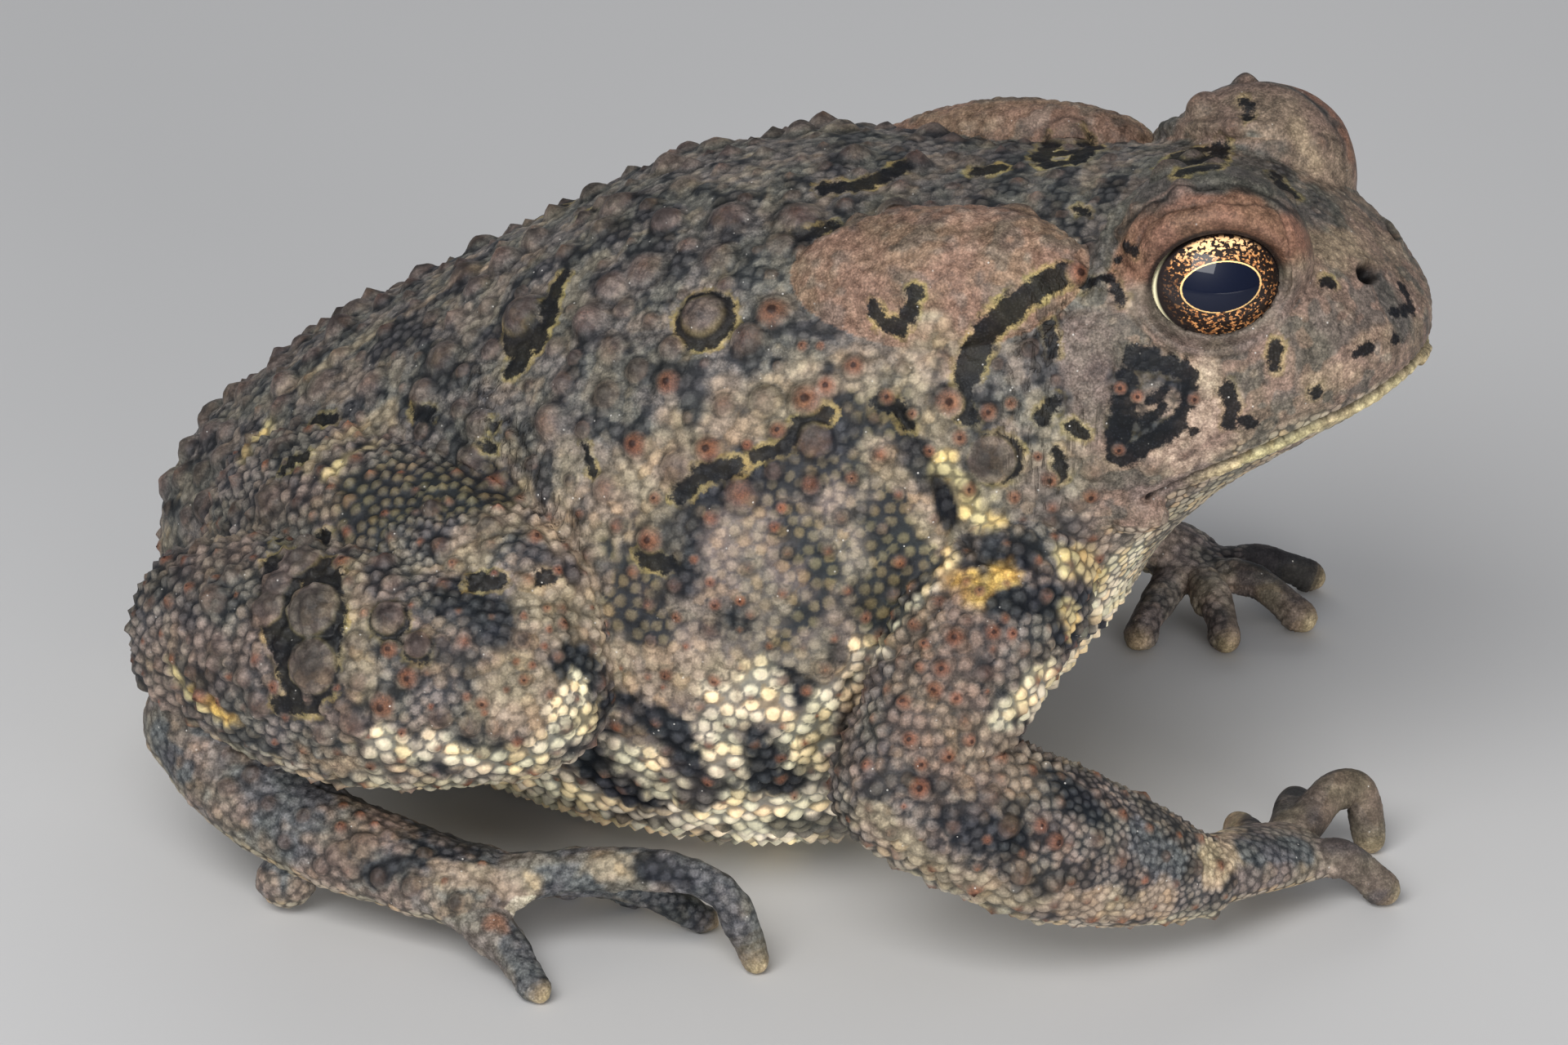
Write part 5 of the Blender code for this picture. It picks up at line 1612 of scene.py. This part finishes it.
def skin_look():
    look = Look("toad_skin")
    fine = look.noise(0.12, 3.0)
    medium = look.noise(0.55, 4.0)
    broad = look.noise(2.0, 3.0)
    pebbles = look.cells(0.2)
    plain = 1.0 - look.value("granular") * 0.85

    # The granules' tops and the ground between them, mixed by the grain and its painted shading.
    grain_and_shading = look.value("grain_and_shading") + ((fine - 0.5) * 0.45 + (medium - 0.5) * 0.8) * plain
    colour = look.mix(look.rise(grain_and_shading, 0.1, 0.85), look.colour("ground"), look.colour("tops"))

    # Brown warts, and black marks with a yellow edge that leave the warts free.
    wart = look.value("shade")
    brown = look.rise(wart, 0.0, 0.7)
    colour = look.mix(brown * 0.55, colour, look.mix(medium, *WART_BROWNS))
    edge = look.value("mark") + (medium - 0.5) + (fine - 0.5) * 0.35
    yellow = look.rise(edge, 0.5, 0.2) * look.value("rim") * (1.0 - brown) * look.rise(broad, 0.35, 0.6)
    colour = look.mix(yellow * 0.75, colour, MARK_EDGE)
    black = look.rise(edge, 0.2, -0.08) * (1.0 - brown)
    ink = look.mix(look.rise(pebbles, 0.3, 0.1), *MARK_INKS)
    colour = look.mix(black * 0.95, colour, ink)

    # Painted shade round the warts' feet, their ruddy sides and dark tips, and the wholly dark warts.
    colour = look.mix(look.rise(look.value("foot"), 0.0, 1.0) * 0.55, colour, WART_FOOT_SHADE)
    ruddy = look.value("ruddy")
    red = look.mix(fine, *WART_REDS)
    colour = look.mix(look.rise(ruddy + (fine - 0.5) * 0.3, 0.1, 0.8) * 0.7, colour, red)
    colour = look.mix(look.rise(ruddy, 0.68, 0.85) * 0.9, colour, WART_TIP)
    colour = look.mix(look.rise(wart, 1.0, 1.7) * 0.65, colour, DARK_WART)

    # Warmer and cooler granules, painted shade in the thin wrinkles' grooves, and painted shade in the deep
    # places: grooves, the mouth's line, round the lids and in the nostrils.
    tinge = look.value("tinge")
    colour = look.mix(look.rise(tinge, 0.0, 0.8), colour, WARM_GRANULE, "MULTIPLY")
    colour = look.mix(look.rise(tinge, 0.0, -0.8), colour, COOL_GRANULE, "MULTIPLY")
    wrinkle = look.rise(look.noise(0.42, 2.0, (1.0, 1.0, 0.14)), 0.5, 0.38) * look.value("wrinkled")
    # Painted shade in the wrinkles' grooves.
    colour = look.mix(wrinkle * 0.45, colour, WRINKLE_SHADE)
    # Painted shade in the grooves, the mouth's line, round the lids and in the nostrils.
    colour = look.mix(look.value("dark"), colour, DEEP_SHADE)

    # An uneven tone and tint over everything, and pale specks standing for dust and for painted glints on
    # the spines.
    tone = 0.45 + medium * 0.55 + (fine - 0.5) * 0.75 * plain + (broad - 0.5) * 0.8
    tone = look.rise(tone, -0.1, 1.5) * 1.9
    tone = tone * (1.12 - look.rise(pebbles, 0.25, 0.75) * plain * 0.35)
    colour = look.mix(1.0, colour, look.grey(tone), "MULTIPLY")
    blush = look.mix(look.rise(look.noise(3.1, 2.0), 0.38, 0.62), *BLUSHES)
    colour = look.mix(1.0, colour, blush, "MULTIPLY")
    dust_and_glint = look.rise(look.cells(0.9), 0.085, 0.05) * look.rise(broad, 0.42, 0.6)
    colour = look.mix(dust_and_glint * 0.7, colour, DUST_AND_GLINT)

    heights = (fine * 0.6 - look.rise(pebbles, 0.0, 0.8) * 0.4) * plain + medium * 0.5 - wrinkle * 1.6
    look.bump(heights, 0.05)
    return look.finish(Base_Color=colour, Roughness=0.42 + medium * 0.25, Specular_IOR_Level=0.3)


# The iris, in the eye's own frame.
PUPIL = (2.36, 1.5)
PUPIL_PLACE = (0.22, -0.12)
PUPIL_TILT = math.radians(-1.0)
IRIS = (3.55, 3.08)
IRIS_GROUND = (0.008, 0.005, 0.004)
FLECKS = ((0.1, 0.035, 0.012), (0.42, 0.2, 0.075))  # mixed by noise
TOP_FLECK = (0.66, 0.42, 0.22)
PUPIL_RING = (0.55, 0.36, 0.15)
PUPIL_BLACK = (0.001, 0.002, 0.007)
EYE_DARK = (0.008, 0.006, 0.006)
EYE_WHITE = (0.6, 0.55, 0.36)
BALL_SHARE = 0.72  # how far round from the gaze to the rear the eyeball is made


def make_eyeball(side, hand, material):
    """The eyeball in rings round the gaze, with each point's place across the iris."""
    rings, sides = 96, 160
    mesh = bmesh.new()
    levels = []
    for i in range(1, rings):
        angle = math.pi * BALL_SHARE * i / rings
        ring = []
        for k in range(sides):
            around = 2 * math.pi * k / sides
            reach = EYE_RADIUS * math.sin(angle)
            ring.append((reach * math.cos(around), reach * math.sin(around), EYE_RADIUS * math.cos(angle)))
        levels.append(ring)
    local = np.array([(0.0, 0.0, EYE_RADIUS)] + [place for ring in levels for place in ring])
    places = from_eye_frame(local, hand)
    verts = [mesh.verts.new(tuple(place * MM)) for place in places]
    for k in range(sides):
        after = (k + 1) % sides
        mesh.faces.new((verts[0], verts[1 + k], verts[1 + after]))
        for i in range(rings - 2):
            low, high = 1 + i * sides, 1 + (i + 1) * sides
            mesh.faces.new((verts[low + k], verts[high + k], verts[high + after], verts[low + after]))
    mesh.faces.new([verts[1 + (rings - 2) * sides + k] for k in range(sides)])
    bmesh.ops.recalc_face_normals(mesh, faces=mesh.faces)
    data = bpy.data.meshes.new("eyeball_" + side)
    mesh.to_mesh(data)
    mesh.free()
    data.shade_smooth()
    for name, column in (("across", 0), ("up", 1)):
        layer = data.attributes.new(name, "FLOAT", "POINT")
        layer.data.foreach_set("value", local[:, column].astype(np.float32))
    data.materials.append(material)
    obj = bpy.data.objects.new("eyeball_" + side, data)
    bpy.context.scene.collection.objects.link(obj)
    return obj


def eye_look():
    look = Look("toad_eye")
    across = look.value("across") - PUPIL_PLACE[0]
    up = look.value("up") - PUPIL_PLACE[1]
    along = across * math.cos(PUPIL_TILT) + up * math.sin(PUPIL_TILT)
    high = up * math.cos(PUPIL_TILT) - across * math.sin(PUPIL_TILT)
    fine = look.noise(0.16, 3.0)
    flake = look.noise(0.26, 4.0, (1.0, 1.0, 1.5))
    # 1 at the edge of the pupil and at the edge of the iris.
    pupil_share = ((along / PUPIL[0]) ** 2.0 + (high / PUPIL[1]) ** 2.0) ** 0.5 + (fine - 0.5) * 0.03
    iris_share = ((along / IRIS[0]) ** 2.0 + (high / IRIS[1]) ** 2.0) ** 0.5

    # Gold flecks that are paler near the top and fade out to the rear.
    upright = ((high / 2.6) ** 2.0) * 0.05
    gold = look.rise(flake + upright + high * 0.006, 0.54, 0.6)
    fleck = look.mix(look.rise(fine, 0.35, 0.7), *FLECKS)
    fleck = look.mix(look.rise(high, 1.5, 2.5) * 0.6, fleck, TOP_FLECK)
    colour = look.mix(gold, IRIS_GROUND, fleck)
    rear = look.rise(along, -1.9, -2.9) * look.rise(high, 1.6, 0.6)
    colour = look.mix(rear * 0.85, colour, EYE_DARK)

    # A gold ring with a notch below, round the pupil.
    ring = look.rise(pupil_share, 1.06, 1.035) * look.rise(pupil_share, 0.99, 1.01)
    notch = look.rise(((along + 0.1) ** 2.0) ** 0.5, 0.1, 0.2)
    lower = look.rise(high, 0.2, -0.1)
    ring = ring * (1.0 - (1.0 - notch) * lower)
    colour = look.mix(ring * (0.55 + look.rise(high, -0.5, 1.0) * 0.4), colour, PUPIL_RING)
    colour = look.mix(look.rise(pupil_share, 1.01, 0.985), colour, PUPIL_BLACK)

    # A dark edge, with the white showing at the rear corner.
    colour = look.mix(look.rise(iris_share, 0.93, 1.01), colour, EYE_DARK)
    white = look.rise(iris_share, 1.06, 1.12) * look.rise(along, -2.0, -3.0)
    colour = look.mix(white * 0.8, colour, EYE_WHITE)
    wet = {"Coat_Weight": 1.0, "Coat_Roughness": 0.01, "Coat_IOR": 1.36}
    return look.finish(Base_Color=colour, Roughness=0.5, Specular_IOR_Level=0.05, **wet)


FLOOR_HALF = 3.0  # metres
FLOOR_TONE = 0.62


def make_floor():
    mesh = bmesh.new()
    bmesh.ops.create_grid(mesh, x_segments=1, y_segments=1, size=FLOOR_HALF)
    data = bpy.data.meshes.new("floor")
    mesh.to_mesh(data)
    mesh.free()
    look = Look("floor_plain")
    tone = FLOOR_TONE + (look.noise(40.0, 2.0) - 0.5) * 0.02
    data.materials.append(look.finish(Base_Color=look.grey(tone), Roughness=0.8))
    floor = bpy.data.objects.new("floor", data)
    bpy.context.scene.collection.objects.link(floor)


def soft_light(name, place, target, size, watts, colour=(1.0, 1.0, 1.0), gloss=False, only=None):
    """A lit rectangle in metres. Without gloss it leaves no reflection, and only limits what it lights."""
    data = bpy.data.lights.new(name, "AREA")
    data.shape = "RECTANGLE"
    data.size, data.size_y = size
    data.energy = watts
    data.color = colour
    light = bpy.data.objects.new(name, data)
    bpy.context.scene.collection.objects.link(light)
    light.visible_glossy = gloss
    if only:
        light.light_linking.receiver_collection = only
    turn = (target - place).to_track_quat("-Z", "Y").to_matrix().to_4x4()
    light.matrix_world = Matrix.Translation(place) @ turn


# Lights, in metres.
KEY_PIXEL = (1474, 322)  # where the window shines in the right eye
KEY_DISTANCE = 0.42
WINDOW = (0.29, 0.22)
HEAD_AIM = Vector((0.01, -0.01, 0.03))
BODY_AIM = Vector((0, 0, 0.02))
CHEST_AIM = Vector((0.01, 0, 0.012))
SKY = (0.9, 0.93, 1.0, 1.0)
SKY_STRENGTH = 0.22


def key_place():
    """Where a light stands whose reflection in the right eyeball falls on the key pixel."""
    eye = camera_place()
    way = pixel_way(*KEY_PIXEL).normalized()
    centre = mirrored(EYE_CENTRE, -1)
    off = eye - centre
    lean = off.dot(way)
    near = -lean - math.sqrt(lean**2 - off.length_squared + EYE_RADIUS**2)
    on_ball = eye + way * near
    normal = (on_ball - centre).normalized()
    bounce = way - normal * 2 * way.dot(normal)
    return on_ball * MM + bounce * KEY_DISTANCE


def make_lights(eyeballs):
    key = key_place()
    soft_light("key", key, HEAD_AIM, WINDOW, 1.35, (1.0, 0.99, 0.98), gloss=True)
    soft_light("catch", key, HEAD_AIM, WINDOW, 6.0, gloss=True, only=eyeballs)
    soft_light("front", Vector((0.55, -0.7, 0.09)), CHEST_AIM, (0.6, 0.3), 8.0, (1.0, 0.98, 0.97))
    soft_light("fill", Vector((-0.5, -0.7, 0.25)), BODY_AIM, (0.6, 0.5), 1.1, (0.95, 0.97, 1.0))
    soft_light("rear", Vector((-0.25, 0.85, 0.35)), BODY_AIM, (0.9, 0.5), 3.6)
    world = bpy.data.worlds.new("studio")
    world.use_nodes = True
    sky = world.node_tree.nodes["Background"]
    sky.inputs["Color"].default_value = SKY
    sky.inputs["Strength"].default_value = SKY_STRENGTH
    bpy.context.scene.world = world
    bpy.context.scene.view_settings.view_transform = "Standard"


make_camera()
skin_data = make_skin()
skin_data.materials.clear()
skin_data.materials.append(skin_look())
toad = bpy.data.objects.new("skin", skin_data)
bpy.context.scene.collection.objects.link(toad)
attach(toad, "root")
limbs = ("upper_arm_", "forearm_", "hand_", "thigh_", "shank_", "foot_")
limb_nodes = [name + side for name in limbs for side in ("right", "left")]
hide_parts("torso", "head", *limb_nodes)
wet_eye = eye_look()
eyeballs = bpy.data.collections.new("eyeballs")
for side, hand in (("right", -1), ("left", 1)):
    ball = make_eyeball(side, hand, wet_eye)
    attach(ball, "root")
    eyeballs.objects.link(ball)
    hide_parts("eye_" + side)
make_floor()
make_lights(eyeballs)
